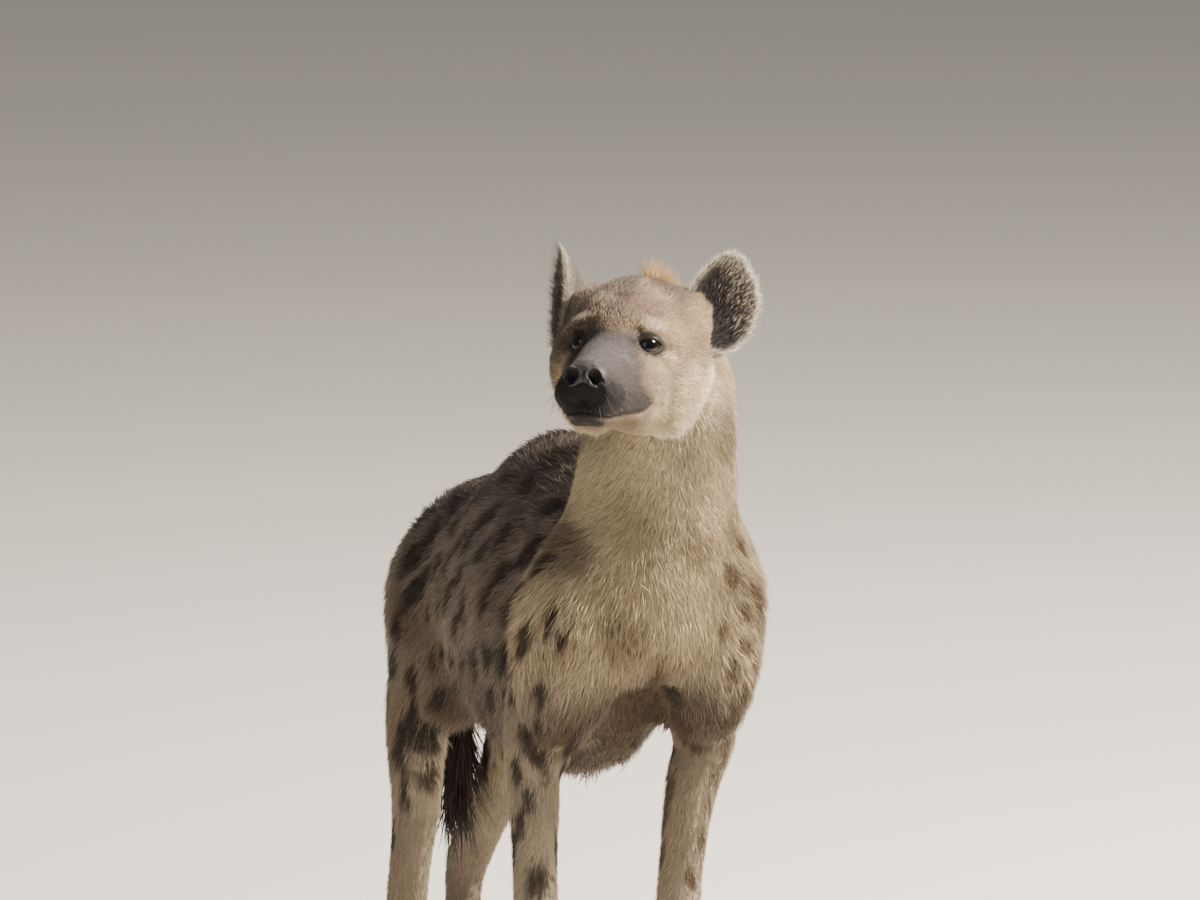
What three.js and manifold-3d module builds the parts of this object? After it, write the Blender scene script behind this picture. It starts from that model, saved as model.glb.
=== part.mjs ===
// Spotted hyena, life size, standing alert with its head raised and turned to its right.
// Millimetres, +Z up. The animal faces -Y, so its left is +X. The floor is z = 0.
import * as THREE from 'three';
import { mergeVertices } from 'three/addons/utils/BufferGeometryUtils.js';
import Module from 'manifold-3d';

const wasm = await Module();
wasm.setup();

// Driving dimensions
const GAP = 0.3;
const MERGE_DISTANCE = 0.001;
const BODY_BLEND = 34;
const HEAD_BLEND = 13;

// Trunk, as heights above the floor and places along the body
const WITHERS_TOP = 790;
const WITHERS_Y = -205;
const CHEST_FRONT_Y = -412;
const STERNUM_Z = 404;
const CHEST_HALF_WIDTH = 130;
const SHOULDER_HALF_WIDTH = 150;
const LOIN_TOP = 712;
const CROUP_TOP = 680;
const CROUP_Y = 262;
const BUTTOCK_Y = 378;
const HAUNCH_HALF_WIDTH = 116;
const NECK_RADIUS = 88;
const NECK_SWAY = 18;
const NECK_BASE_AT = 0.73;

// Head: its origin is midway between the eyes, its nose points to -Y before it is turned
const HEAD_PLACE = new THREE.Vector3(-75, -461, 953);
const HEAD_YAW = 34.5;
const HEAD_PITCH = 15;
const CROWN_Z = 86;
const CHEEK_HALF_WIDTH = 92;
const MUZZLE_HALF_WIDTH = 38;
const NOSE_Y = -121;
const NOSE_Z = -50;
const NOSE_WIDTH = 51;
const NOSE_HEIGHT = 38;
const CHIN_Z = -100;
const MOUTH_FRONT_Z = -87;
const MOUTH_CORNER = { y: -12, z: -64 };
const EYE_RADIUS = 13;
const EYE_DEPTH = 10;
const EYE_TURN = 36;
const EYE_SLIT = { width: 30, height: 17 };
const EAR_HEIGHT = 116;
const EAR_WIDTH = 90;
const EARS = {
  ear_left: { side: 1, turn: 45, rim: 92 },
  ear_right: { side: -1, turn: 64, rim: 100 },
};

// Legs: where each foot stands, and where its elbow or stifle is
const LEGS = {
  foreleg_left: { foot: [56, -256], bend: [103, -228] },
  foreleg_right: { foot: [-98, -240], bend: [-95, -226] },
  hindleg_left: { foot: [56, 500], bend: [72, 318] },
  hindleg_right: { foot: [-84, 268], bend: [-84, 222] },
};
const FOREPAW_WIDTH = 82;
const HINDPAW_WIDTH = 72;
const PAW_CUT_Z = 62;
const HOCK_Z = 172;
const CARPUS_Z = 205;

// Locks of the mane, the belly fringe and the tail brush
const LOCK_SINK = 7;
const LOCK_THICKNESS = 6;
const LOCK_SEED = 11;

const radians = THREE.MathUtils.degToRad;
const clamp = THREE.MathUtils.clamp;
const lerp = THREE.MathUtils.lerp;

// Closed solids from three.js geometry, with their faces turned outwards
function solidOf(geometry) {
  const bare = geometry.clone();
  for (const name of Object.keys(bare.attributes)) {
    if (name !== 'position') {
      bare.deleteAttribute(name);
    }
  }
  const merged = mergeVertices(bare, MERGE_DISTANCE);
  const index = merged.index.array;
  const corners = [new THREE.Vector3(), new THREE.Vector3(), new THREE.Vector3()];
  const kept = [];
  let volume = 0;
  for (let i = 0; i < index.length; i += 3) {
    const [a, b, c] = [index[i], index[i + 1], index[i + 2]];
    if (a !== b && b !== c && c !== a) {
      kept.push([a, b, c]);
      corners.forEach((corner, k) => corner.fromBufferAttribute(merged.attributes.position, index[i + k]));
      volume += corners[0].dot(corners[1].cross(corners[2]));
    }
  }
  const faces = volume > 0 ? kept : kept.map(([a, b, c]) => [b, a, c]);
  return new wasm.Manifold(new wasm.Mesh({
    numProp: 3,
    vertProperties: new Float32Array(merged.attributes.position.array),
    triVerts: new Uint32Array(faces.flat()),
  }));
}

function geometryOf(solid) {
  const mesh = solid.getMesh();
  const count = mesh.vertProperties.length / mesh.numProp;
  const position = new Float32Array(count * 3);
  for (let i = 0; i < count; i += 1) {
    for (let k = 0; k < 3; k += 1) {
      position[3 * i + k] = mesh.vertProperties[mesh.numProp * i + k];
    }
  }
  const geometry = new THREE.BufferGeometry();
  geometry.setAttribute('position', new THREE.BufferAttribute(position, 3));
  geometry.setIndex(new THREE.BufferAttribute(new Uint32Array(mesh.triVerts), 1));
  geometry.computeVertexNormals();
  return geometry;
}

function largest(solid) {
  const pieces = solid.decompose();
  return pieces.reduce((best, piece) => (piece.volume() > best.volume() ? piece : best));
}

const join = (solids) => solids.reduce((whole, solid) => whole.add(solid));
const moved = (geometry, matrix) => geometry.clone().applyMatrix4(matrix);

// Forms of the field: each gives the distance from a point to a rounded mass, negative inside
const local = new THREE.Vector3();

function mass({ at, size, tilt = 0 }) {
  const centre = new THREE.Vector3(...at);
  const back = new THREE.Matrix4().makeRotationX(-radians(tilt));
  return (point) => {
    local.copy(point).sub(centre).applyMatrix4(back);
    const scaled = Math.hypot(local.x / size[0], local.y / size[1], local.z / size[2]);
    const slope = Math.hypot(local.x / size[0] ** 2, local.y / size[1] ** 2, local.z / size[2] ** 2);
    return slope < 1e-9 ? -Math.min(...size) : (scaled * (scaled - 1)) / slope;
  };
}

function limb({ from, to, radii }) {
  const start = new THREE.Vector3(...from);
  const run = new THREE.Vector3(...to).sub(start);
  const length = run.lengthSq();
  return (point) => {
    local.copy(point).sub(start);
    const along = clamp(local.dot(run) / length, 0, 1);
    local.addScaledVector(run, -along);
    return local.length() - lerp(radii[0], radii[1], along);
  };
}

function blend(forms, softness) {
  return (point) => {
    let distance = forms[0](point);
    for (let i = 1; i < forms.length; i += 1) {
      const other = forms[i](point);
      const share = Math.max(softness - Math.abs(distance - other), 0) / softness;
      distance = Math.min(distance, other) - (share * share * softness) / 4;
    }
    return distance;
  };
}

// A field that is alike on the left and the right
function mirrored(field) {
  const folded = new THREE.Vector3();
  return (point) => field(folded.set(Math.abs(point.x), point.y, point.z));
}

function reach(field, from, direction, grow) {
  const point = new THREE.Vector3();
  let near = 0;
  let far = 0;
  for (let step = 0; step < 400; step += 1) {
    const value = field(point.copy(from).addScaledVector(direction, far)) - grow;
    if (value > 0) {
      break;
    }
    near = far;
    far += Math.max(-value * 0.7, 0.5);
  }
  for (let step = 0; step < 14; step += 1) {
    const middle = (near + far) / 2;
    const value = field(point.copy(from).addScaledVector(direction, middle)) - grow;
    if (value > 0) {
      far = middle;
    } else {
      near = middle;
    }
  }
  return near;
}

// The frame of one ring across an axis curve
function ringFrame(axis, at) {
  const centre = axis.getPointAt(at);
  const along = axis.getTangentAt(at);
  const side = new THREE.Vector3(1, 0, 0).addScaledVector(along, -along.x).normalize();
  const across = new THREE.Vector3().crossVectors(side, along);
  return { centre, along, side, across };
}

// A closed cylinder whose rings are laid across an axis curve; radiusAt places each vertex
function loft({ axis, sides, rings, from = 0, to = 1, spacing = (t) => t, radiusAt }) {
  const geometry = new THREE.CylinderGeometry(1, 1, 1, sides, rings);
  const position = geometry.attributes.position;
  const direction = new THREE.Vector3();
  const frames = new Map();
  for (let i = 0; i < position.count; i += 1) {
    const step = Math.round((position.getY(i) + 0.5) * rings);
    if (!frames.has(step)) {
      frames.set(step, ringFrame(axis, lerp(from, to, spacing(step / rings))));
    }
    const frame = frames.get(step);
    const [x, z] = [position.getX(i), position.getZ(i)];
    const place = frame.centre.clone();
    if (Math.hypot(x, z) > 0.5) {
      direction.copy(frame.side).multiplyScalar(x).addScaledVector(frame.across, z).normalize();
      place.addScaledVector(direction, radiusAt(frame, direction, step / rings, x, z));
    }
    position.setXYZ(i, place.x, place.y, place.z);
  }
  return geometry;
}

// A loft whose vertices lie on the surface of a field
function wrap({ field, grow = 0, ...options }) {
  return loft({
    ...options,
    radiusAt: (frame, direction) => reach(field, frame.centre, direction, grow),
  });
}

const easeEnds = (t) => lerp(t, (1 - Math.cos(Math.PI * t)) / 2, 0.75);
const easeEnd = (t) => lerp(t, Math.sin((Math.PI * t) / 2), 0.6);
const easeHead = (t) => lerp(easeEnds(t), easeEnd(t), 0.5);

// A limb of oval rings through named stations
function ovalLimb(stations, sides, rings) {
  const axis = new THREE.CatmullRomCurve3(stations.map((s) => new THREE.Vector3(...s.at)));
  const spread = new THREE.CatmullRomCurve3(stations.map((s) => new THREE.Vector3(s.wide, s.deep, 0)));
  const lengths = axis.getLengths(400);
  const total = lengths[lengths.length - 1];
  const parameterAt = (part) => {
    const target = part * total;
    const after = lengths.findIndex((length) => length >= target);
    return Math.max(after, 0) / 400;
  };
  return loft({
    axis,
    sides,
    rings,
    radiusAt: (frame, direction, part, x, z) => {
      const size = spread.getPoint(parameterAt(part));
      return 1 / Math.hypot(x / size.x, z / size.y);
    },
  });
}

// Trunk and neck: one field, one axis that bends up into the neck
function sway(height) {
  const out = THREE.MathUtils.smoothstep(height, 560, 790);
  const back = THREE.MathUtils.smoothstep(height, 830, 960);
  return NECK_SWAY * (out - 0.6 * back);
}

const straightTrunk = mirrored(blend([
  mass({ at: [0, -60, 600], size: [CHEST_HALF_WIDTH - 6, 245, 600 - STERNUM_Z] }),
  mass({ at: [0, CHEST_FRONT_Y + 90, 652], size: [92, 90, 112], tilt: -14 }),
  mass({ at: [0, WITHERS_Y, 690], size: [58, 120, WITHERS_TOP - 698], tilt: 12 }),
  mass({ at: [SHOULDER_HALF_WIDTH - 58, -300, 592], size: [57, 84, 132], tilt: 10 }),
  limb({ from: [0, -170, 690], to: [0, 230, LOIN_TOP - 96], radii: [84, 88] }),
  mass({ at: [0, 85, 554], size: [112, 190, 134] }),
  mass({ at: [32, CROUP_Y, CROUP_TOP - 100], size: [62, 98, 88] }),
  mass({ at: [60, CROUP_Y, 515], size: [HAUNCH_HALF_WIDTH - 60, 94, 124], tilt: 6 }),
  mass({ at: [42, BUTTOCK_Y - 44, 540], size: [46, 46, 86] }),
  mass({ at: [66, 206, 478], size: [42, 62, 70], tilt: -16 }),
  limb({ from: [0, -285, 660], to: [0, -356, 872], radii: [104, NECK_RADIUS - 6] }),
  limb({ from: [0, -212, 748], to: [0, -316, 925], radii: [44, 44] }),
  mass({ at: [0, -342, 915], size: [74, 70, 66] }),
], BODY_BLEND));

function trunkField(point) {
  return straightTrunk(new THREE.Vector3(point.x - sway(point.z), point.y, point.z));
}

const trunkAxis = new THREE.CatmullRomCurve3([
  [BUTTOCK_Y - 6, 562],
  [CROUP_Y + 46, 574],
  [180, 580],
  [50, 582],
  [-90, 594],
  [-195, 628],
  [-268, 692],
  [-312, 775],
  [-336, 862],
  [-345, 925],
  [-350, 968],
].map(([y, z]) => new THREE.Vector3(sway(z), y, z)));

const torsoLoft = (grow) => wrap({
  field: trunkField,
  axis: trunkAxis,
  sides: 34,
  rings: 32,
  from: 0,
  to: NECK_BASE_AT,
  spacing: easeEnds,
  grow,
});

const neckLoft = (grow) => wrap({
  field: trunkField,
  axis: trunkAxis,
  sides: 28,
  rings: 12,
  from: NECK_BASE_AT + 0.0003,
  to: 0.995,
  spacing: easeEnd,
  grow,
});

// Head
const headField = mirrored(blend([
  mass({ at: [0, 66, 12], size: [74, 78, CROWN_Z - 13] }),
  mass({ at: [48, 80, 36], size: [36, 42, 39] }),
  mass({ at: [0, 14, 12], size: [47, 44, 44] }),
  mass({ at: [33, -4, 17], size: [20, 18, 12] }),
  mass({ at: [50, 62, -18], size: [CHEEK_HALF_WIDTH - 52, 60, 52] }),
  mass({ at: [42, 62, -56], size: [34, 50, 38] }),
  mass({ at: [30, 4, -36], size: [30, 46, 30] }),
  limb({ from: [0, -6, -18], to: [0, NOSE_Y + 30, -46], radii: [38, 25] }),
  limb({ from: [16, -20, -50], to: [12, NOSE_Y + 32, -60], radii: [29, 24] }),
  mass({ at: [MUZZLE_HALF_WIDTH - 20, NOSE_Y + 34, -66], size: [20, 29, 19] }),
  mass({ at: [27, MOUTH_CORNER.y - 2, MOUTH_CORNER.z], size: [19, 34, 20] }),
  mass({ at: [0, NOSE_Y + 16, NOSE_Z], size: [19, 14, 17] }),
  limb({ from: [25, 30, -72], to: [9, NOSE_Y + 38, CHIN_Z + 17], radii: [25, 16] }),
  mass({ at: [0, NOSE_Y + 33, CHIN_Z + 15], size: [19, 22, 14] }),
], HEAD_BLEND));

const headAxis = new THREE.CatmullRomCurve3([
  [145, 4],
  [90, -2],
  [40, -14],
  [-10, -34],
  [-60, -54],
  [NOSE_Y + 26, -66],
  [NOSE_Y + 8, -70],
].map(([y, z]) => new THREE.Vector3(0, y, z)));

const headLoft = (grow) => wrap({
  field: headField,
  axis: headAxis,
  sides: 32,
  rings: 31,
  from: 0.004,
  spacing: easeHead,
  grow,
});

const headMatrix = new THREE.Matrix4()
  .makeRotationZ(-radians(HEAD_YAW))
  .multiply(new THREE.Matrix4().makeRotationX(-radians(HEAD_PITCH)))
  .setPosition(HEAD_PLACE);

// The cup of an ear: a bowl whose rim is the ear's outline and whose pole sits in the skull
const EAR_PROFILE = [
  [0, 0],
  [0.36, 0.05],
  [0.62, 0.22],
  [0.82, 0.5],
  [0.96, 0.8],
  [1, 1],
  [0.93, 0.99],
  [0.86, 0.8],
  [0.7, 0.54],
  [0.46, 0.34],
  [0, 0.24],
];
const EAR_TIP_TAPER = 0.24;

function earCup({ side, turn, rim }) {
  const outline = EAR_PROFILE.map(([radius, height]) => new THREE.Vector2(radius, height));
  const geometry = new THREE.LatheGeometry(outline, 20);
  const position = geometry.attributes.position;
  const pole = new THREE.Vector3(side * 55, 106, 26);
  const mouth = new THREE.Vector3(side * rim, 98, 62);
  const wide = new THREE.Vector3(side * Math.cos(radians(turn)), Math.sin(radians(turn)), 0);
  const tall = new THREE.Vector3(side * 0.06, 0.1, 1).normalize();
  for (let i = 0; i < position.count; i += 1) {
    const [x, height, z] = [position.getX(i), position.getY(i), position.getZ(i)];
    const point = pole.clone().lerp(mouth, height);
    const taper = 1 - EAR_TIP_TAPER * Math.max(z, 0);
    point.addScaledVector(wide, (x * taper * EAR_WIDTH) / 2);
    point.addScaledVector(tall, (z * EAR_HEIGHT) / 2);
    position.setXYZ(i, point.x, point.y, point.z);
  }
  return solidOf(geometry);
}

// Eyes: a ball set a little under the skin, looked at through an almond slit between two lids
function eyePlace(side) {
  const gaze = new THREE.Vector3(side * Math.sin(radians(EYE_TURN)), -Math.cos(radians(EYE_TURN)), 0);
  const inside = new THREE.Vector3(side * 22, 18, 0);
  const depth = reach(headField, inside, gaze, 0) - EYE_DEPTH;
  const centre = inside.addScaledVector(gaze, depth);
  return new THREE.Matrix4().makeTranslation(...centre)
    .multiply(new THREE.Matrix4().makeRotationZ(radians(side * EYE_TURN)));
}

function eyeBall(side, grow) {
  const ball = new THREE.SphereGeometry(EYE_RADIUS + grow, 12, 8).rotateX(radians(90));
  return solidOf(moved(ball, eyePlace(side)));
}

function eyeLids(side) {
  const lid = new THREE.SphereGeometry(EYE_RADIUS + 3, 12, 8).rotateX(radians(90));
  return solidOf(moved(lid, eyePlace(side)));
}

function eyeSlit(side) {
  const half = EYE_SLIT.width / 2;
  const almond = new THREE.Shape();
  almond.moveTo(-half, -4);
  almond.bezierCurveTo(-half * 0.5, EYE_SLIT.height * 0.62, half * 0.5, EYE_SLIT.height * 0.62, half, 1);
  almond.bezierCurveTo(half * 0.5, -EYE_SLIT.height * 0.7, -half * 0.4, -EYE_SLIT.height * 0.7, -half, -4);
  const prism = new THREE.ExtrudeGeometry(almond, { depth: 40, curveSegments: 6, bevelEnabled: false });
  prism.rotateX(radians(90));
  prism.scale(side, 1, 1);
  return solidOf(moved(prism, eyePlace(side)));
}

// Nose leather with comma-shaped nostrils
const noseField = mirrored(blend([
  mass({ at: [NOSE_WIDTH / 4, NOSE_Y + 15, NOSE_Z + 1], size: [NOSE_WIDTH / 4, 15, NOSE_HEIGHT / 2 - 2] }),
  mass({ at: [0, NOSE_Y + 16, NOSE_Z + 6], size: [17, 15, NOSE_HEIGHT / 2 - 3] }),
  mass({ at: [0, NOSE_Y + 16, NOSE_Z - 8], size: [11, 13, NOSE_HEIGHT / 2 - 6] }),
], 6));

const noseAxis = new THREE.LineCurve3(
  new THREE.Vector3(0, NOSE_Y + 29, NOSE_Z),
  new THREE.Vector3(0, NOSE_Y + 3, NOSE_Z),
);

const noseLoft = (grow) => solidOf(wrap({
  field: noseField,
  axis: noseAxis,
  sides: 16,
  rings: 7,
  spacing: easeEnds,
  grow,
}));

function bead(at, size, turn = 0) {
  const place = new THREE.Matrix4().makeTranslation(...at)
    .multiply(new THREE.Matrix4().makeRotationY(radians(turn)))
    .scale(new THREE.Vector3(...size));
  return solidOf(moved(new THREE.SphereGeometry(1, 10, 7), place));
}

function nostrils() {
  const holes = [];
  for (const side of [-1, 1]) {
    holes.push(bead([side * 13, NOSE_Y, NOSE_Z + 1], [6, 11, 7.5], side * 20));
    holes.push(bead([side * 21, NOSE_Y + 6, NOSE_Z - 4], [8, 9, 2.6], side * 12));
  }
  return join(holes);
}

// The line of the mouth: a groove from one corner round the front to the other
function mouthGroove() {
  const points = [];
  const steps = 22;
  for (let i = 0; i <= steps; i += 1) {
    const part = (2 * i) / steps - 1;
    const away = Math.abs(part);
    const turn = radians(100 * away);
    const direction = new THREE.Vector3(Math.sign(part) * Math.sin(turn), -Math.cos(turn), 0);
    const height = lerp(MOUTH_FRONT_Z, MOUTH_CORNER.z, away ** 3);
    const centre = new THREE.Vector3(0, lerp(NOSE_Y + 30, MOUTH_CORNER.y, away ** 1.4), height);
    points.push(centre.addScaledVector(direction, reach(headField, centre, direction, 0)));
  }
  const path = new THREE.CatmullRomCurve3(points);
  const round = new THREE.Shape();
  round.absarc(0, 0, 2.2, 0, Math.PI * 2);
  return solidOf(new THREE.ExtrudeGeometry(round, {
    extrudePath: path,
    steps: 34,
    curveSegments: 3,
    bevelEnabled: false,
  }));
}

// The furrow from the nose down to the mouth
function lipFurrow() {
  const wedge = new THREE.CylinderGeometry(1.4, 1.4, -MOUTH_FRONT_Z + NOSE_Z, 6);
  wedge.rotateX(radians(90));
  wedge.rotateX(radians(90));
  wedge.translate(0, NOSE_Y + 8, (NOSE_Z + MOUTH_FRONT_Z) / 2);
  return solidOf(wedge);
}

// Legs
function foreleg({ foot: [x, y], bend: [elbowX, elbowY] }) {
  const side = Math.sign(x);
  const at = (part, height, back = 0) => [lerp(elbowX, x, part), lerp(elbowY, y, part) + back, height];
  return ovalLimb([
    { at: [side * 72, -246, 620], wide: 44, deep: 62 },
    { at: [side * 80, -254, 548], wide: 54, deep: 76 },
    { at: [lerp(side * 84, elbowX, 0.5), -246, 500], wide: 47, deep: 68 },
    { at: at(0, 456), wide: 37, deep: 53 },
    { at: at(0.35, 400, 2), wide: 31, deep: 42 },
    { at: at(0.68, 310), wide: 26, deep: 35 },
    { at: at(0.9, CARPUS_Z + 10, -5), wide: 28, deep: 31 },
    { at: at(1, CARPUS_Z - 70, 4), wide: 24, deep: 26 },
    { at: at(1, 84, 4), wide: 26, deep: 27 },
    { at: at(1, 34, -2), wide: 28, deep: 30 },
  ], 16, 17);
}

function hindleg({ foot: [x, y], bend: [stifleX, stifleY] }) {
  const side = Math.sign(x);
  const at = (part, height, back = 0) => [lerp(stifleX, x, part), lerp(stifleY, y, part) + back, height];
  return ovalLimb([
    { at: [side * 58, 266, 580], wide: 42, deep: 78 },
    { at: [side * 70, lerp(266, stifleY + 36, 0.5), 480], wide: 43, deep: 84 },
    { at: at(0, 396, 34), wide: 35, deep: 66 },
    { at: at(0.3, 320, 24), wide: 29, deep: 46 },
    { at: at(0.62, 250, 28), wide: 24, deep: 36 },
    { at: at(0.92, HOCK_Z + 6, 36), wide: 24, deep: 34 },
    { at: at(1, HOCK_Z - 50, 22), wide: 21, deep: 26 },
    { at: at(1, 76, 14), wide: 23, deep: 25 },
    { at: at(1, 34, 2), wide: 26, deep: 27 },
  ], 16, 17);
}

// A paw: four toes with blunt claws round one pad, flat where it meets the floor
const TOES = [
  { x: 9.5, y: -44, turn: -3 },
  { x: 26, y: -29, turn: -12 },
];

const pawField = mirrored(blend([
  mass({ at: [0, 10, 30], size: [28, 34, 42] }),
  mass({ at: [0, -4, 14], size: [36, 34, 20] }),
  ...TOES.map(({ x, y }) => mass({ at: [x, y, 15], size: [11.5, 27, 18] })),
], 5));

const pawAxis = new THREE.LineCurve3(new THREE.Vector3(0, 42, 20), new THREE.Vector3(0, -66, 13));

function paw(width) {
  const pad = wrap({ field: pawField, axis: pawAxis, sides: 16, rings: 9, spacing: easeEnds });
  const position = pad.attributes.position;
  for (let i = 0; i < position.count; i += 1) {
    position.setZ(i, Math.max(position.getZ(i), 0));
  }
  const parts = [pad];
  for (const side of [-1, 1]) {
    for (const { x, y, turn } of TOES) {
      const claw = new THREE.ConeGeometry(4.6, 24, 5, 1);
      claw.rotateX(radians(114));
      claw.rotateZ(radians(side * turn));
      claw.translate(side * (x + 1), y - 28, 15);
      parts.push(claw);
    }
  }
  const size = width / FOREPAW_WIDTH;
  return join(parts.map((part) => solidOf(part.scale(size, size, size))));
}

// Tail: a dock with a close core, under the locks of the brush
const TAIL = [
  { at: [0, BUTTOCK_Y - 34, 634], wide: 20, deep: 20 },
  { at: [0, BUTTOCK_Y + 4, 618], wide: 23, deep: 21 },
  { at: [0, BUTTOCK_Y + 24, 580], wide: 21, deep: 20 },
  { at: [1, BUTTOCK_Y + 29, 520], wide: 19, deep: 18 },
  { at: [3, BUTTOCK_Y + 28, 450], wide: 17, deep: 16 },
  { at: [5, BUTTOCK_Y + 24, 390], wide: 15, deep: 14 },
  { at: [6, BUTTOCK_Y + 20, 340], wide: 11, deep: 10 },
  { at: [6, BUTTOCK_Y + 16, 302], wide: 4, deep: 4 },
];

// A lock of hair: a flat, tapered blade that leaves the skin and bends along its lie
function lock({ root, normal, lie, length, width, rise, curl }) {
  const blade = new THREE.ConeGeometry(1, 1, 4, 3);
  const position = blade.attributes.position;
  const side = new THREE.Vector3().crossVectors(lie, normal).normalize();
  for (let i = 0; i < position.count; i += 1) {
    const along = position.getY(i) + 0.5;
    const swell = 0.8 + 0.75 * along;
    const lift = lerp(-LOCK_SINK, rise, Math.sin((along * Math.PI) / 2));
    const point = root.clone()
      .addScaledVector(lie, length * along)
      .addScaledVector(normal, lift + (position.getZ(i) * swell * LOCK_THICKNESS) / 2)
      .addScaledVector(side, curl * along * along + (position.getX(i) * swell * width) / 2);
    position.setXYZ(i, point.x, point.y, point.z);
  }
  return solidOf(blade);
}

const random = () => THREE.MathUtils.seededRandom();
const vary = (size, share) => size * (1 + share * (2 * random() - 1));

// Rows of locks over a lofted form: each row crosses the axis at one place
function coat({ surface, axis, rows, from, to, angles, length, width, rise, forward = 1, lay = 0 }) {
  const locks = [];
  for (let row = 0; row < rows; row += 1) {
    const at = lerp(from, to, (row + 0.5) / rows);
    const stagger = row % 2 === 0 ? 0.25 : -0.25;
    const step = angles.length > 1 ? angles[1] - angles[0] : 0;
    for (const angle of angles) {
      const frame = ringFrame(axis, clamp(at + 0.004 * (random() - 0.5), 0, 1));
      const turn = radians(angle + step * (stagger + 0.2 * (random() - 0.5)));
      const direction = frame.across.clone().multiplyScalar(-Math.cos(turn))
        .addScaledVector(frame.side, Math.sin(turn));
      const distance = surface(frame, direction);
      const root = frame.centre.clone().addScaledVector(direction, distance);
      const ahead = frame.along.clone().multiplyScalar(forward).addScaledVector(direction, lay);
      const lie = ahead.addScaledVector(direction, -ahead.dot(direction) * (1 - lay)).normalize();
      locks.push(lock({
        root,
        normal: direction,
        lie,
        length: vary(length, 0.2),
        width: vary(width, 0.2),
        rise: vary(rise, 0.2),
        curl: 8 * (random() - 0.5),
      }));
    }
  }
  return locks;
}

// Half spaces above and below a height
const slab = (low, high) => solidOf(
  new THREE.BoxGeometry(3000, 3000, high - low).translate(0, 0, (low + high) / 2),
);
const above = (height) => slab(height, 2000);
const below = (height) => slab(-500, height);

// Scene graph
const COLOURS = {
  coat: 0xb9a07c,
  dark: 0x4a3a30,
  leather: 0x2b2426,
  eye: 0x2a1a10,
};

function finish(colour, roughness) {
  return new THREE.MeshStandardMaterial({ color: colour, roughness, metalness: 0 });
}

const hyena = new THREE.Group();
const head = new THREE.Group();
head.applyMatrix4(headMatrix);
hyena.add(head);

function addNode(parent, name, solid, colour, roughness = 0.9) {
  const mesh = new THREE.Mesh(geometryOf(largest(solid)), finish(colour, roughness));
  mesh.name = name;
  parent.add(mesh);
}

// Nodes of the head
THREE.MathUtils.seededRandom(LOCK_SEED);
const skull = solidOf(headLoft(0));
const skullGrown = solidOf(headLoft(GAP));
let headSolid = skull;
for (const side of [-1, 1]) {
  headSolid = headSolid.add(eyeLids(side)).subtract(eyeBall(side, GAP)).subtract(eyeSlit(side));
  addNode(head, side > 0 ? 'eye_left' : 'eye_right', eyeBall(side, 0), COLOURS.eye, 0.2);
}
headSolid = headSolid.subtract(noseLoft(GAP)).subtract(mouthGroove()).subtract(lipFurrow());
addNode(head, 'head', headSolid, COLOURS.coat);
addNode(head, 'nose', noseLoft(0).subtract(nostrils()), COLOURS.leather, 0.5);
const neckByHead = solidOf(neckLoft(GAP)).transform(headMatrix.clone().invert().elements);
for (const [name, ear] of Object.entries(EARS)) {
  addNode(head, name, earCup(ear).subtract(skullGrown).subtract(neckByHead), COLOURS.coat);
}

// Nodes of the body
const onTrunk = (frame, direction) => reach(trunkField, frame.centre, direction, 0);
const torsoGrown = solidOf(torsoLoft(GAP));
const neckGrown = solidOf(neckLoft(GAP));
const maneBack = coat({
  surface: onTrunk, axis: trunkAxis, rows: 5, from: 0.45, to: 0.7, angles: [-15, 0, 15],
  length: 66, width: 32, rise: 17,
});
const bellyFringe = coat({
  surface: onTrunk, axis: trunkAxis, rows: 5, from: 0.25, to: 0.55, angles: [160, 180, 200],
  length: 64, width: 32, rise: 24, forward: -1,
});
const torso = join([solidOf(torsoLoft(0)), ...maneBack, ...bellyFringe]).subtract(neckGrown);
addNode(hyena, 'torso', torso, COLOURS.coat);

const maneNape = coat({
  surface: onTrunk, axis: trunkAxis, rows: 5, from: 0.755, to: 0.94, angles: [-23, 0, 23],
  length: 58, width: 36, rise: 24,
});
const crest = coat({
  surface: onTrunk, axis: trunkAxis, rows: 2, from: 0.94, to: 0.99, angles: [2, 16, 30],
  length: 48, width: 40, rise: 38,
});
const neck = join([solidOf(neckLoft(0)), ...maneNape, ...crest]).subtract(
  skullGrown.transform(headMatrix.elements),
);
addNode(hyena, 'neck', neck, COLOURS.coat);

const dock = ovalLimb(TAIL, 10, 15);
const tailAxis = new THREE.CatmullRomCurve3(TAIL.map(({ at }) => new THREE.Vector3(...at)));
const brush = coat({
  surface: () => 10, axis: tailAxis, rows: 6, from: 0.36, to: 0.97, angles: [0, 90, 180, 270],
  length: 88, width: 24, rise: 14,
});
const tail = join([solidOf(dock), ...brush]).subtract(torsoGrown);
addNode(hyena, 'tail', tail, COLOURS.dark);

for (const [name, leg] of Object.entries(LEGS)) {
  const isFore = name.startsWith('fore');
  const shaft = solidOf(isFore ? foreleg(leg) : hindleg(leg));
  addNode(hyena, name, shaft.subtract(torsoGrown).intersect(above(PAW_CUT_Z)), COLOURS.coat);
  const foot = paw(isFore ? FOREPAW_WIDTH : HINDPAW_WIDTH).translate([leg.foot[0], leg.foot[1] - 8, 0]);
  const whole = foot.add(shaft.intersect(above(20))).intersect(below(PAW_CUT_Z - GAP));
  addNode(hyena, name.replace('leg', 'paw'), whole, COLOURS.dark);
}

// The origin goes to the middle of the feet's floor, under the centre of the whole animal
const bounds = new THREE.Box3().setFromObject(hyena, true);
const middle = bounds.getCenter(new THREE.Vector3());
hyena.position.set(-middle.x, -middle.y, 0);

export default hyena;
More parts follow.
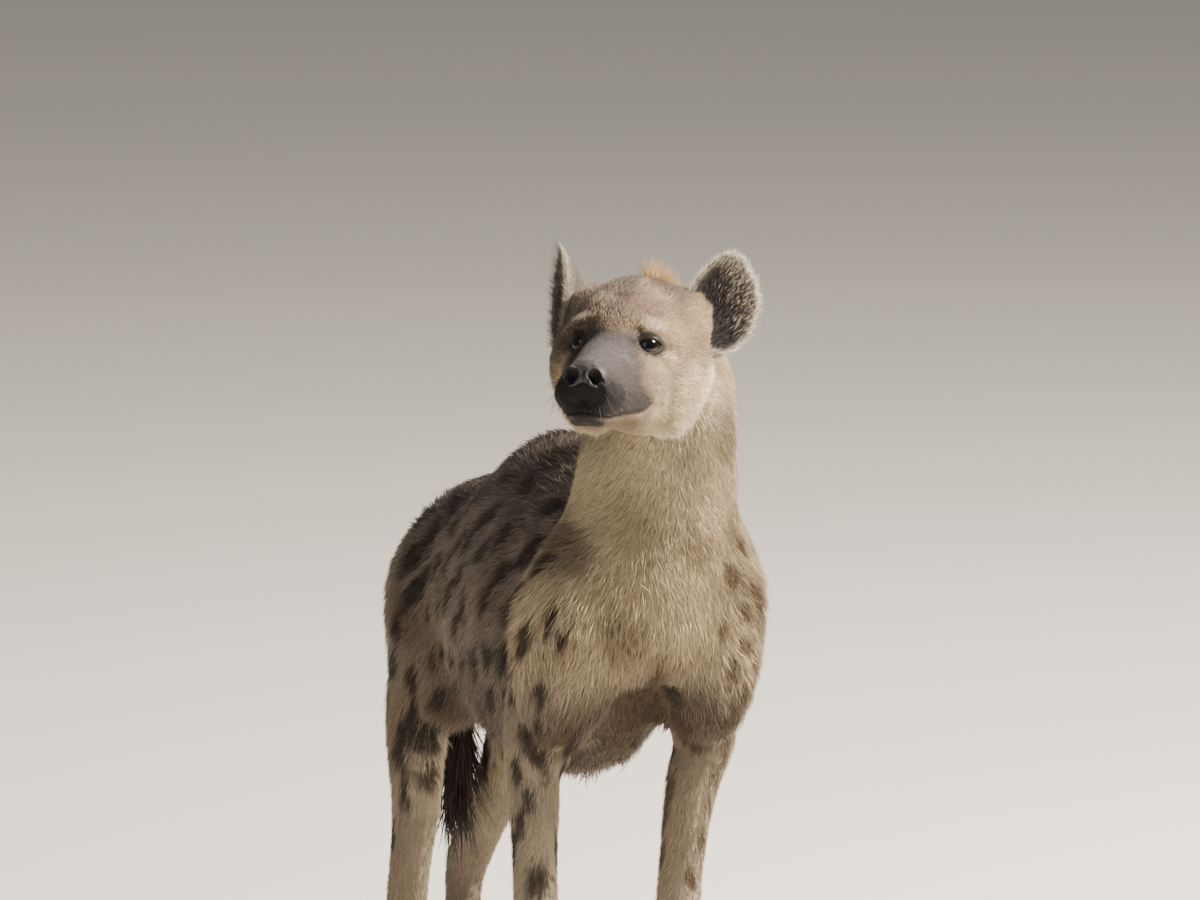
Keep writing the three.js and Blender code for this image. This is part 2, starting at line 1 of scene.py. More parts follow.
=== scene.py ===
# %% [markdown]
# # A spotted hyena, life size
#
# A museum model of a spotted hyena stands alert, its head raised and turned to its right. It is one
# closed skin that carries a coat of fine tufts, two glassy eyes in soft lids, a leathery nose and
# blunt claws. The solids of the frame give every size, and this scene dresses them.

# %% The frame
import math

import bmesh
import bpy
import numpy as np
from mathutils import Matrix, Vector
from mathutils.bvhtree import BVHTree
from mathutils.kdtree import KDTree


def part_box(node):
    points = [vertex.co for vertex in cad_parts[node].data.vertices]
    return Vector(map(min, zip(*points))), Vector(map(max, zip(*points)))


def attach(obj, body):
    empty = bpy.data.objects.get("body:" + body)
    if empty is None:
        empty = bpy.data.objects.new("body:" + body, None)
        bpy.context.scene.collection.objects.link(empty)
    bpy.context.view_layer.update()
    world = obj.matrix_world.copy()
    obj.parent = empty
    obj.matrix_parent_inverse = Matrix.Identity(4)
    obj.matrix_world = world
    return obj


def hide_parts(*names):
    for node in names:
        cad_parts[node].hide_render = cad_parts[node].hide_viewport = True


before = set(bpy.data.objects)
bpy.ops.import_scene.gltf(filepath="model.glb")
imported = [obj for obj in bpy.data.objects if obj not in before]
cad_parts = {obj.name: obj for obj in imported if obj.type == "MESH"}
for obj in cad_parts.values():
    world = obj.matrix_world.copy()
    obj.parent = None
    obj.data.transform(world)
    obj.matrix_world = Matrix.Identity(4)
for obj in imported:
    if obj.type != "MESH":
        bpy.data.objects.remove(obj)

scene = bpy.context.scene
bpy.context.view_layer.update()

# %% [markdown]
# The head has its own frame, because it is turned and lifted: the middle between the eyes is its
# origin, x points to the animal's left, and y points back from the nose. Everything on the face is
# placed in it, so both halves of the face stay alike.

# %% The head's frame
HEAD_PITCH = math.radians(-15)

eye_centre = {}
for side, node in ((1, "eye_left"), (-1, "eye_right")):
    low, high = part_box(node)
    eye_centre[side] = (low + high) / 2
head_origin = (eye_centre[1] + eye_centre[-1]) / 2
across = (eye_centre[1] - eye_centre[-1]).normalized()
head_yaw = math.atan2(across.y, across.x)
head_turn = Matrix.Rotation(head_yaw, 3, "Z") @ Matrix.Rotation(HEAD_PITCH, 3, "X")
head_axes = np.array(head_turn)
print("head at", [round(v, 3) for v in head_origin], "turned", round(math.degrees(head_yaw), 1))


def to_head(points):
    """Places in the head's own frame, from places in the model's."""
    return (points - np.array(head_origin)) @ head_axes


def to_model(points):
    """Places in the model's frame, from places in the head's."""
    return np.array(head_origin) + points @ head_axes.T


def from_head(x, y, z):
    """One place in the model's frame, from millimetres in the head's."""
    return head_origin + head_turn @ Vector((x / 1000, y / 1000, z / 1000))


# %% [markdown]
# The photo was taken with a long lens from well in front and a little to the animal's right, from
# slightly above its eyes. A long lens keeps the depth of the body flat. The legs run out of the
# lower edge of the picture, as they do in the photo.

# %% The camera
CAMERA_AZIMUTH = math.radians(-18)
CAMERA_ELEVATION = math.radians(9)
CAMERA_DISTANCE = 15.0
FOCAL_LENGTH_MM = 405.0
SENSOR_MM = 36.0
AIM = head_origin + Vector((0.0758, 0.0622, -0.153))
AIM_RIGHT_OF_CENTRE = 0.07
AIM_BELOW_CENTRE = 0.0222

back = Vector((math.sin(CAMERA_AZIMUTH) * math.cos(CAMERA_ELEVATION),
               -math.cos(CAMERA_AZIMUTH) * math.cos(CAMERA_ELEVATION),
               math.sin(CAMERA_ELEVATION)))
right = Vector((math.cos(CAMERA_AZIMUTH), math.sin(CAMERA_AZIMUTH), 0))
upward = back.cross(right)
camera_data = bpy.data.cameras.new("Camera")
camera_data.lens = FOCAL_LENGTH_MM
camera_data.sensor_width = SENSOR_MM
camera_data.clip_end = 200
camera = bpy.data.objects.new("Camera", camera_data)
camera.location = AIM + back * CAMERA_DISTANCE - right * AIM_RIGHT_OF_CENTRE + upward * AIM_BELOW_CENTRE
camera.rotation_euler = Matrix((right, upward, back)).transposed().to_euler()
scene.collection.objects.link(camera)
scene.camera = camera
print("camera", [round(v, 2) for v in camera.location])

# %% [markdown]
# Skin and coat are worked on as plain arrays of points, which is quick. These helpers read a mesh
# into arrays and average each point with its neighbours. To smooth without shrinking, a pull
# towards the neighbours is followed by a slightly stronger push away. A plain pull, done many
# times, lets a bump down.


# %% Arrays of a mesh
def ramp(value, low, high):
    """0 below low, 1 above high, and a soft step between."""
    t = ((value - low) / (high - low)).clip(0, 1)
    return t * t * (3 - 2 * t)


def bell(value, width):
    """1 where the value is 0, falling softly to both sides within about the width."""
    return np.exp(-(value / width) ** 2)


class Surface:
    """A mesh's points, edges and triangles as arrays."""

    def __init__(self, mesh):
        self.mesh = mesh
        count = len(mesh.vertices)
        self.points = np.empty(count * 3, np.float32)
        mesh.vertices.foreach_get("co", self.points)
        self.points = self.points.reshape(-1, 3).astype(np.float64)
        edges = np.empty(len(mesh.edges) * 2, np.int32)
        mesh.edges.foreach_get("vertices", edges)
        self.edges = edges.reshape(-1, 2)
        self.degree = np.bincount(self.edges.ravel(), minlength=count)[:, None].clip(1)
        mesh.calc_loop_triangles()
        triangles = np.empty(len(mesh.loop_triangles) * 3, np.int32)
        mesh.loop_triangles.foreach_get("vertices", triangles)
        self.triangles = triangles.reshape(-1, 3)

    def average(self, values):
        """Each point's value as the mean of its neighbours' values."""
        first, second = self.edges.T
        count = len(values)
        total = np.empty_like(values)
        for k in range(values.shape[1]):
            total[:, k] = np.bincount(first, values[second, k], count)
            total[:, k] += np.bincount(second, values[first, k], count)
        return total / self.degree

    def spread(self, values, rounds):
        """Values that change softly over the surface."""
        for _ in range(rounds):
            values = 0.5 * values + 0.5 * self.average(values)
        return values

    def soften(self, share, rounds):
        """Rounds off the form where share is near 1, without shrinking it."""
        for _ in range(rounds):
            self.points += 0.5 * share * (self.average(self.points) - self.points)
            self.points -= 0.52 * share * (self.average(self.points) - self.points)

    def flatten(self, share, rounds):
        """Lets bumps down into the form round them where share is near 1."""
        for _ in range(rounds):
            self.points += 0.9 * share * (self.average(self.points) - self.points)

    def normals(self):
        """Each point's normal, from the triangles round it."""
        corners = self.points[self.triangles]
        flat = np.cross(corners[:, 1] - corners[:, 0], corners[:, 2] - corners[:, 0])
        total = np.zeros_like(self.points)
        for k in range(3):
            for axis in range(3):
                total[:, axis] += np.bincount(self.triangles[:, k], flat[:, axis], len(total))
        return total / np.linalg.norm(total, axis=1, keepdims=True).clip(1e-12)

    def write(self):
        self.mesh.vertices.foreach_set("co", self.points.astype(np.float32).ravel())
        self.mesh.update()

    def tree(self):
        return BVHTree.FromPolygons(self.points.tolist(), self.triangles.tolist())


def opened(mesh):
    """A bmesh of the mesh."""
    bm = bmesh.new()
    bm.from_mesh(mesh)
    return bm


def stored(bm, mesh):
    """The mesh, with the bmesh put into it."""
    bm.to_mesh(mesh)
    bm.free()
    return mesh


def tree_of(places):
    """A tree that finds the nearest of some places, and its number."""
    tree = KDTree(len(places))
    for i, place in enumerate(places):
        tree.insert(place, i)
    tree.balance()
    return tree


def evaluated(mesh, name, settle):
    """The mesh that a modifier makes of another: settle adds the modifier to a holder object."""
    holder = bpy.data.objects.new(name, mesh)
    scene.collection.objects.link(holder)
    settle(holder)
    graph = bpy.context.evaluated_depsgraph_get()
    made = bpy.data.meshes.new_from_object(holder.evaluated_get(graph))
    bpy.data.objects.remove(holder)
    made.name = name
    return made


def remeshed(bm, voxel, name):
    """One closed surface round everything in the bmesh, at an even grain."""
    mesh = stored(bm, bpy.data.meshes.new(name))

    def settle(holder):
        modifier = holder.modifiers.new("Voxels", "REMESH")
        modifier.mode = "VOXEL"
        modifier.voxel_size = voxel

    return largest_piece(evaluated(mesh, name, settle))


def largest_piece(mesh):
    """Drops every loose scrap but the biggest."""
    surface = Surface(mesh)
    label = np.arange(len(surface.points))
    first, second = surface.edges.T
    while True:
        lowest = label.copy()
        np.minimum.at(lowest, first, label[second])
        np.minimum.at(lowest, second, label[first])
        lowest = lowest[lowest]
        if np.array_equal(lowest, label):
            break
        label = lowest
    keep = np.bincount(label).argmax()
    bm = opened(mesh)
    bm.verts.ensure_lookup_table()
    scraps = [bm.verts[i] for i in np.flatnonzero(label != keep)]
    bmesh.ops.delete(bm, geom=scraps, context="VERTS")
    return stored(bm, mesh)


MERGE_DISTANCE = 1e-5


def add_node(bm, name, grow):
    """Adds a CAD node to the bmesh, merged and a little fuller, so that neighbours fuse."""
    part = opened(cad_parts[name].data)
    bmesh.ops.remove_doubles(part, verts=part.verts, dist=MERGE_DISTANCE)
    part.normal_update()
    for vertex in part.verts:
        vertex.co += vertex.normal * grow
    scratch = stored(part, bpy.data.meshes.new("scratch"))
    bm.from_mesh(scratch)
    bpy.data.meshes.remove(scratch)


# %% [markdown]
# The skin could be modelled face by face, but the solids already hold the form. Their copies are
# fused by a voxel remesh, which lays one closed surface round all of them. The solids of the trunk
# carry flat locks of hair. Wherever a ray through the surface soon comes out again, the form is a
# lock and not the body, and it is let down into the surface that it grows from.

# %% One skin from the solids
GROW = 0.0005
TRUNK_VOXEL = 0.008
SKIN_VOXEL = 0.0026
LOCK_THICKNESS = 0.026
LOCK_ROUNDS = 420
RAY_START = 0.0005
TRUNK_ROUNDS = 14
LEGS = [f"{pair}leg_{side}" for pair in ("fore", "hind") for side in ("left", "right")]
PAWS = [name.replace("leg", "paw") for name in LEGS]
EARS = ["ear_left", "ear_right"]
# beads along the dock: x, y, z and radius
TAIL_LINE = [(0.0, 0.344, 0.634, 0.015), (0.0, 0.382, 0.618, 0.016), (0.0, 0.402, 0.580, 0.015),
             (0.001, 0.407, 0.520, 0.013), (0.003, 0.406, 0.450, 0.011), (0.005, 0.402, 0.390, 0.009),
             (0.006, 0.398, 0.340, 0.007), (0.006, 0.394, 0.300, 0.004)]
# how far the line of the dock lies right of the tail node's middle and behind its own numbers
TAIL_ASIDE, TAIL_BACK = 0.004, 0.0145
TAIL_BEADS = 8
EYE_RADIUS = 0.0165


def without_locks(mesh):
    """A bmesh of the trunk's own form, with the locks let down into it."""
    surface = Surface(mesh)
    tree = surface.tree()
    thin = np.zeros((len(surface.points), 1))
    for i, (point, normal) in enumerate(zip(surface.points.tolist(), surface.normals().tolist())):
        inward = -Vector(normal)
        hit = tree.ray_cast(Vector(point) + inward * RAY_START, inward, LOCK_THICKNESS)[0]
        thin[i] = hit is not None
    surface.flatten((surface.spread(thin, 2) > 0.12).astype(float), LOCK_ROUNDS)
    surface.write()
    return opened(mesh)


trunk = bmesh.new()
for name in ("neck", "torso"):
    add_node(trunk, name, GROW)
trunk = without_locks(remeshed(trunk, TRUNK_VOXEL, "trunk"))
trunk_mesh = remeshed(trunk, TRUNK_VOXEL, "trunk")
surface = Surface(trunk_mesh)
surface.soften(np.ones((len(surface.points), 1)), TRUNK_ROUNDS)
surface.write()

low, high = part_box("tail")
tail_shift = Vector(((low.x + high.x) / 2 - TAIL_ASIDE, TAIL_BACK, 0))
flesh = opened(trunk_mesh)
for name in ["head", "nose", *LEGS, *PAWS]:
    add_node(flesh, name, GROW)
for side in (1, -1):
    bmesh.ops.create_icosphere(flesh, subdivisions=3, radius=EYE_RADIUS + 0.001,
                               matrix=Matrix.Translation(eye_centre[side]))
for (x0, y0, z0, r0), (x1, y1, z1, r1) in zip(TAIL_LINE, TAIL_LINE[1:]):
    for step in range(TAIL_BEADS):
        t = step / TAIL_BEADS
        centre = Vector((x0, y0, z0)).lerp(Vector((x1, y1, z1)), t) + tail_shift
        bmesh.ops.create_icosphere(flesh, subdivisions=2, radius=r0 + (r1 - r0) * t,
                                   matrix=Matrix.Translation(centre))
skin_mesh = remeshed(flesh, SKIN_VOXEL, "skin")
print("skin:", len(skin_mesh.vertices), "points")

# %% [markdown]
# The trunk and legs need far fewer points than the face. A decimation that spares the head and
# the paws thins them out, the broad forms are smoothed once more, and the front of the face is
# divided again for its lips, nose and lids.

# %% A coarse body and a fine face
BODY_RATIO = 0.2
# rounds of smoothing: everything first, then the thinned body, then the head
FIRST_ROUNDS, BODY_ROUNDS, HEAD_ROUNDS = 10, 24, 14


def in_boxes(points, names, margin=0.004):
    """1 for the points inside the boxes of some CAD nodes."""
    inside = np.zeros(len(points), bool)
    for name in names:
        low, high = (np.array(corner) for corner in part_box(name))
        inside |= ((points > low - margin) & (points < high + margin)).all(1)
    return inside.astype(float)[:, None]


surface = Surface(skin_mesh)
surface.soften(1 - 0.8 * in_boxes(surface.points, PAWS), FIRST_ROUNDS)
surface.write()
fine = surface.spread(in_boxes(surface.points, ["head", *PAWS]), 6)


def thin_out(holder):
    """Leaves the fine parts as they are and thins out the rest."""
    group = holder.vertex_groups.new(name="Body")
    group.add(np.flatnonzero(fine[:, 0] < 0.3).tolist(), 1.0, "REPLACE")
    modifier = holder.modifiers.new("Thin out", "DECIMATE")
    modifier.ratio = BODY_RATIO
    modifier.vertex_group = "Body"


skin_mesh = evaluated(skin_mesh, "skin", thin_out)
surface = Surface(skin_mesh)
surface.soften(surface.spread(1 - in_boxes(surface.points, ["head", *PAWS]), 4), BODY_ROUNDS)
surface.soften(surface.spread(in_boxes(surface.points, ["head"]), 4), HEAD_ROUNDS)
surface.write()
x, y, z = to_head(surface.points).T
front = (y < 0.016) & (np.abs(x) < 0.07) & (np.abs(z + 0.04) < 0.08)
bm = opened(skin_mesh)
bm.verts.ensure_lookup_table()
edges = [edge for edge in bm.edges if all(front[vertex.index] for vertex in edge.verts)]
bmesh.ops.subdivide_edges(bm, edges=edges, cuts=1, use_grid_fill=True)
bmesh.ops.triangulate(bm, faces=bm.faces)
stored(bm, skin_mesh)
body_points = len(skin_mesh.vertices)
print("skin:", body_points, "points", len(skin_mesh.polygons), "triangles")

# %% [markdown]
# An ear is a thin cup of gristle, too thin for voxels, so it is laid out as a grid: one direction
# runs round the cup, the other from its pole over the rim down into the hollow. The grid also
# tells which points lie inside and how near the rim they are. The base sits deep in the skull.

# %% The ears
EAR_WIDTH, EAR_HEIGHT, EAR_TAPER = 0.088, 0.114, 0.24
EAR_ROUND, EAR_STEPS = 72, 40
# reach from the axis and height over the pole, as shares: up the back, over the rim, down inside
EAR_PROFILE = [(0, 0), (0.36, 0.05), (0.62, 0.22), (0.82, 0.50), (0.955, 0.80), (1, 0.96), (0.985, 1.01),
               (0.94, 0.99), (0.87, 0.83), (0.73, 0.55), (0.52, 0.33), (0.27, 0.21), (0, 0.18)]
EAR_RIBS, RIB_DEPTH, RIB_STEPS = 7, 0.016, 16
EAR_POLE = (0.055, 0.106, 0.026)
EAR_RISE = (0.06, 0.10, 1.0)
# turn in degrees and distance of the rim's middle from the head's: the right ear is turned further
EAR_PLACE = {1: (45, 0.092), -1: (64, 0.100)}
RIM_STEPS = 2.5
EAR_ROOT = np.array([0, 0, -0.02])
# side, inside, rim, deep, and the direction that hair takes: nothing on the rest of the skin
ear_values = [np.zeros((body_points, 7))]

bm = opened(skin_mesh)
outline = np.array(EAR_PROFILE)
knots = np.concatenate([[0], np.cumsum(np.linalg.norm(np.diff(outline, axis=0), axis=1))])
steps = np.linspace(0, knots[-1], EAR_STEPS)
reach = np.interp(steps, knots, outline[:, 0])
height = np.interp(steps, knots, outline[:, 1])
for values in (reach, height, reach, height):
    values[1:-1] = (values[:-2] + 2 * values[1:-1] + values[2:]) / 4
rim_step = int(np.argmax(reach + height))
for side, (turn, rim) in EAR_PLACE.items():
    mirror = np.array([side, 1, 1])
    pole = mirror * EAR_POLE
    mouth = np.array([side * rim, 0.098, 0.062])
    wide = np.array([side * math.cos(math.radians(turn)), math.sin(math.radians(turn)), 0])
    tall = mirror * EAR_RISE / math.hypot(*EAR_RISE)
    angles = np.arange(EAR_ROUND) / EAR_ROUND * 2 * math.pi
    grid = []
    for k in range(EAR_STEPS):
        narrow = 1 - EAR_TAPER * np.sin(angles).clip(0, 1) ** 1.5
        inner = min(max(k - rim_step, 0) / RIB_STEPS, 1)
        ribs = RIB_DEPTH * np.sin(angles * EAR_RIBS) * math.sin(math.pi * inner)
        a = np.cos(angles) * narrow * (reach[k] + ribs) * EAR_WIDTH / 2
        b = np.sin(angles) * (reach[k] + ribs) * EAR_HEIGHT / 2
        grid.append(pole + (mouth - pole) * height[k] + a[:, None] * wide + b[:, None] * tall)
    grid = np.stack(grid)
    poles = [grid[0].mean(0), grid[-1].mean(0)]
    ear_points = np.concatenate([[poles[0]], grid[1:-1].reshape(-1, 3), [poles[1]]])
    place = to_model(ear_points)
    made = [bm.verts.new(point) for point in place.tolist()]
    rows = [[made[0]] * EAR_ROUND]
    rows += [made[1 + k * EAR_ROUND:1 + (k + 1) * EAR_ROUND] for k in range(EAR_STEPS - 2)]
    rows.append([made[-1]] * EAR_ROUND)
    new_faces = []
    for k in range(EAR_STEPS - 1):
        for j in range(EAR_ROUND):
            n = (j + 1) % EAR_ROUND
            corners = [rows[k][j], rows[k][n], rows[k + 1][n], rows[k + 1][j]]
            corners = [c for i, c in enumerate(corners) if c not in corners[:i]]
            new_faces.append(bm.faces.new(corners))
    bmesh.ops.recalc_face_normals(bm, faces=new_faces)
    ring_of = np.repeat(np.arange(EAR_STEPS), [1, *[EAR_ROUND] * (EAR_STEPS - 2), 1])
    around = np.concatenate([[0], np.tile(angles, EAR_STEPS - 2), [0]])
    inward = (ring_of - rim_step) / (EAR_STEPS - rim_step)
    deep = ramp(inward - 0.22 * np.cos(around) - 0.10 * np.sin(around), 0.02, 0.34)
    outward = ear_points - (pole + EAR_ROOT)
    flow = outward / np.linalg.norm(outward, axis=1, keepdims=True) @ head_axes.T
    rim_share = bell(ring_of - rim_step, RIM_STEPS)
    one_side = np.full(len(place), side)
    ear_values.append(np.column_stack([one_side, ring_of > rim_step, rim_share, deep, flow]))
bmesh.ops.triangulate(bm, faces=bm.faces)
stored(bm, skin_mesh)
ear_values = np.concatenate(ear_values)
ear_part, ear_inside, ear_rim, ear_deep = ear_values[:, :4].T
ear_flow = ear_values[:, 4:]
print("with ears:", len(skin_mesh.vertices), "points", len(skin_mesh.polygons), "triangles")

# %% [markdown]
# Which part of the body a point of the skin belongs to is read from the solids: points are
# scattered over every node, and each point of the skin takes the name of the nearest one. The
# parts are then blurred into each other, so that the coat changes softly from one to the next.

# %% Parts of the body
PART_NAMES = ["torso", "neck", "tail", "head", "nose", *EARS, *LEGS, *PAWS]
SAMPLE_AREA = 60e-6
FEWEST_SAMPLES = 60
PART_BLUR, HEAD_BLUR = 30, 180
draw = np.random.default_rng(7)


def scatter(source, corners, count, weight=1):
    """Random places on triangles: which triangle, the share of each corner, and the whole area."""
    flat = np.cross(corners[:, 1] - corners[:, 0], corners[:, 2] - corners[:, 0])
    area = np.linalg.norm(flat, axis=1) / 2 * weight
    chosen = source.choice(len(corners), count, p=area / area.sum())
    first, second = np.sqrt(source.random(count)), source.random(count)
    return chosen, np.stack([1 - first, first * (1 - second), first * second], 1), area.sum()


places, owners = [], []
for number, name in enumerate(PART_NAMES):
    if name in EARS:
        continue
    node_surface = Surface(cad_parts[name].data)
    corners = node_surface.points[node_surface.triangles]
    area = scatter(draw, corners, 1)[2]
    chosen, share, _ = scatter(draw, corners, max(int(area / SAMPLE_AREA), FEWEST_SAMPLES))
    places.append(np.einsum("ij,ijk->ik", share, corners[chosen]))
    owners.append(np.full(len(chosen), number))
places, owners = np.concatenate(places), np.concatenate(owners)
nearest = tree_of(places)


def is_part(parts, *prefixes):
    """1 for the points whose part's name starts like this."""
    numbers = [i for i, name in enumerate(PART_NAMES) if name.startswith(prefixes)]
    return np.isin(parts, numbers).astype(float)


surface = Surface(skin_mesh)
parts = owners[[nearest.find(point)[1] for point in surface.points.tolist()]]
parts = np.where(ear_part > 0, PART_NAMES.index("ear_left"), parts)
parts = np.where(ear_part < 0, PART_NAMES.index("ear_right"), parts)
soft_parts = surface.spread(np.eye(len(PART_NAMES))[parts], PART_BLUR)
soft_head = surface.spread(is_part(parts, "head", "nose")[:, None], HEAD_BLUR)[:, 0]
print("parts:", {name: int((parts == i).sum()) for i, name in enumerate(PART_NAMES)})

# %% [markdown]
# Now the forms under the coat are worked out as a taxidermist does with clay: each stroke presses
# a round patch of the surface in or out along its normal. The face gets brow ridges over deep-set
# eyes, cheekbones, hollows beside the bridge of the nose, whisker pads, and lips round the line of
# the mouth. The body gets its shoulder blades, the groove of the breast and the folds of the legs.

# %% Sculpted forms
# place in the head's frame: x (both sides, or 0 for the middle), y, z; radius; push, in millimetres
FACE_STROKES = [
    (16, -20, 20, 16, 0.3), (32, -12, 24, 17, 0.6), (48, 2, 23, 17, 1.2), (62, 18, 16, 15, 0.8),
    (24, -30, 0, 11, -2.0), (33, -34, -14, 13, -1.8), (46, -13, -19, 11, 1.2), (58, 6, -14, 12, 1.4),
    (64, 30, -14, 24, 2.4), (68, 44, 26, 22, -2.4), (60, 14, -44, 20, -1.8),
    (27, -56, -30, 15, -2.2), (12, -56, -16, 12, 1.0), (31, -82, -68, 19, 2.6), (22, -98, -72, 12, 1.6),
    (26, 8, 46, 22, 1.8), (52, 56, 58, 24, 1.5), (50, 2, -60, 8, 2.2), (54, 12, -54, 9, 1.6),
    (40, -20, -86, 11, 1.4), (16, -84, -97, 12, 1.8),
    (31, -20, 13, 7, -1.3), (38, -12, 16, 7, -1.3), (47, -1, 15, 7, -1.3), (55, 9, 11, 7, -1.0),
    (38, -20, -13, 6, -0.8), (47, -9, -13, 6, -0.8), (10, -112, -67, 13, 3.0), (20, -106, -66, 11, 1.6),
    (0, 2, 52, 13, -2.2), (0, -22, 34, 12, -1.2), (0, -112, -76, 5, -1.6), (0, -90, -100, 8, -0.8),
]
# place in the model's frame, radius and push, in metres
BODY_STROKES = [
    (0.008, -0.370, 0.600, 0.030, -0.007), (0.020, -0.300, 0.550, 0.036, -0.014),
    (0.026, -0.260, 0.510, 0.046, -0.016), (0.004, -0.380, 0.660, 0.026, -0.004),
    (-0.052, -0.295, 0.545, 0.052, 0.018), (-0.048, -0.245, 0.500, 0.046, 0.018),
    (-0.052, -0.210, 0.460, 0.036, 0.012), (0.098, -0.290, 0.530, 0.046, 0.010),
    (0.066, -0.350, 0.630, 0.050, 0.006), (-0.060, -0.350, 0.620, 0.050, 0.007),
    (0.125, -0.150, 0.560, 0.050, -0.006), (-0.118, -0.150, 0.560, 0.050, -0.006),
    (0.120, -0.235, 0.640, 0.060, 0.005), (-0.112, -0.235, 0.640, 0.060, 0.005),
    (0.118, 0.120, 0.530, 0.055, -0.007), (-0.110, 0.120, 0.530, 0.055, -0.007),
    (0.110, 0.270, 0.560, 0.060, 0.005), (-0.100, 0.270, 0.560, 0.060, 0.005),
]
WITHERS, WITHERS_RADIUS, WITHERS_ROUNDS = (0.035, -0.085, 0.795), 0.105, 60
BORDER_ROUNDS = 70


def falloff(distance):
    """1 in the middle of a stroke, 0 from distance 1 on."""
    return (1 - distance.clip(0, 1) ** 2) ** 2


def away_from(points, place):
    """Distance of each point from one place."""
    return np.linalg.norm(points - np.array(place), axis=1)


def sides(x):
    """Both sides of the face, or one where x is 0."""
    return (1, -1) if x else (1,)


not_ear = ear_part == 0
border = 4 * soft_head * (1 - soft_head) * (to_head(surface.points)[:, 1] > 0.03) * not_ear
surface.soften(border.clip(0, 1)[:, None], BORDER_ROUNDS)
near_withers = ramp(WITHERS_RADIUS - away_from(surface.points, WITHERS), 0, 0.035)
surface.flatten(near_withers[:, None], WITHERS_ROUNDS)
normals = surface.normals()
moved = surface.points.copy()
strokes = [(from_head(side * x, y, z), radius / 1000, push / 1000)
           for x, y, z, radius, push in FACE_STROKES for side in sides(x)]
strokes += [(place, radius, push) for *place, radius, push in BODY_STROKES]
for centre, radius, push in strokes:
    moved += normals * (falloff(away_from(moved, centre) / radius) * push)[:, None]

# Toes: millimetres of a paw 82 mm wide, from its middle outwards and from its front backwards
PAW_WIDTH = 0.082
TOES = [(9.5, 0), (27, 13)]
TOE_SLANT = 0.35
for name in PAWS:
    low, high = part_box(name)
    size = (high.x - low.x) / PAW_WIDTH
    aside = np.abs(moved[:, 0] - (low.x + high.x) / 2) / size * 1000
    back = (moved[:, 1] - low.y) / size * 1000
    height = moved[:, 2] / size * 1000
    on_paw = in_boxes(moved, [name])[:, 0] * ramp(height, 3, 10) * ramp(58 - back, 0, 26)
    dome = sum(bell(aside - toe, 6.5) for toe, _ in TOES)
    gap = bell(aside, 2.6) + bell(aside - 18.5, 2.8)
    knuckle = bell(back - 20 - TOE_SLANT * aside, 8) - 0.8 * bell(back - 38 - TOE_SLANT * aside, 9)
    moved += normals * (on_paw * (dome * (1.2 + 1.6 * knuckle) - 4.6 * gap) * size / 1000)[:, None]
surface.points = np.where(not_ear[:, None], moved, surface.points)

# The line of the mouth, in millimetres of the head's frame: a faint smile from corner to corner
MOUTH = [(0, -108, -87), (9, -106, -87.6), (18, -98, -87.6), (25, -80, -85.5), (31, -58, -82),
         (37, -38, -77.5), (42, -24, -73), (46, -12, -67), (48, -5, -62.5)]
MOUTH_STEPS = 20
LIP_DEPTH, LIP_WIDTH = 0.0024, 0.0011
LIP_SWELL, LIP_REACH = 0.0013, 0.011
skin_tree = surface.tree()
knots = np.array(MOUTH)
line = [start + (end - start) * t for start, end in zip(knots, knots[1:])
        for t in np.linspace(0, 1, MOUTH_STEPS, endpoint=False)]
line.append(knots[-1])
mouth_tree = tree_of([skin_tree.find_nearest(from_head(side * x, y, z))[0]
                      for side in (1, -1) for x, y, z in line])


def to_mouth(points):
    """Distance from the line of the mouth, height above it, and place along it to the corner."""
    distance, above, along = np.ones(len(points)), np.zeros(len(points)), np.zeros(len(points))
    local = to_head(points)
    x, y, z = np.abs(local.T[0]), *local.T[1:]
    for i in np.flatnonzero((y < 0.04) & (z < -0.02) & (x < 0.08)):
        place, index, distance[i] = mouth_tree.find(points[i])
        above[i] = local[i, 2] - to_head(np.array(place)[None])[0, 2]
        along[i] = index % len(line) / (len(line) - 1)
    return distance, above, along


mouth_distance, mouth_above, mouth_along = to_mouth(surface.points)
normals = surface.normals()
lips = falloff(mouth_distance / LIP_REACH) * LIP_SWELL * (1 - 0.7 * mouth_along ** 4)
groove = bell(mouth_distance, LIP_WIDTH) * LIP_DEPTH
surface.points += normals * (lips - groove)[:, None]
surface.write()
print("mouth:", int((mouth_distance < 0.002).sum()), "points in the groove")

# %% [markdown]
# A coat is described by a few values at each point of the skin: which way the hair lies, how
# long it is, how steeply it rises, and how deep the coat is above the skin. A hyena's coat is
# rough and long on the trunk, longest on the ridge of the neck, and short on face, ears and feet.

# %% The lie and length of the coat
COAT = {
    # part: length, rise in degrees, depth of the coat above the skin
    "torso": (0.027, 15, 0.0075), "neck": (0.023, 18, 0.0060), "tail": (0.024, 13, 0.001),
    "head": (0.011, 15, 0.0022), "nose": (0.001, 10, 0.0016),
    "ear": (0.009, 20, 0.0004), "foreleg": (0.012, 12, 0.0028), "hindleg": (0.014, 13, 0.0030),
    "forepaw": (0.009, 16, 0.0010), "hindpaw": (0.009, 16, 0.0010),
}
# direction of the hair
LIE = {
    "torso": (0, 0.62, -0.70), "neck": (0, 0.62, -0.78), "tail": (0, 0.02, -1.0),
    "foreleg": (0, 0.12, -1.0), "hindleg": (0, 0.30, -1.0), "forepaw": (0, -0.9, -0.5),
    "hindpaw": (0, -0.9, -0.5),
}
LIE_BLUR = 10
NOSE_TIP = np.array([0, -0.125, -0.05])


def unit(vectors):
    """The vectors at length 1."""
    return vectors / np.linalg.norm(vectors, axis=1, keepdims=True).clip(1e-9)


def tangent(vectors, normals):
    """The vectors laid flat on the surface."""
    return unit(vectors - (vectors * normals).sum(1, keepdims=True) * normals)


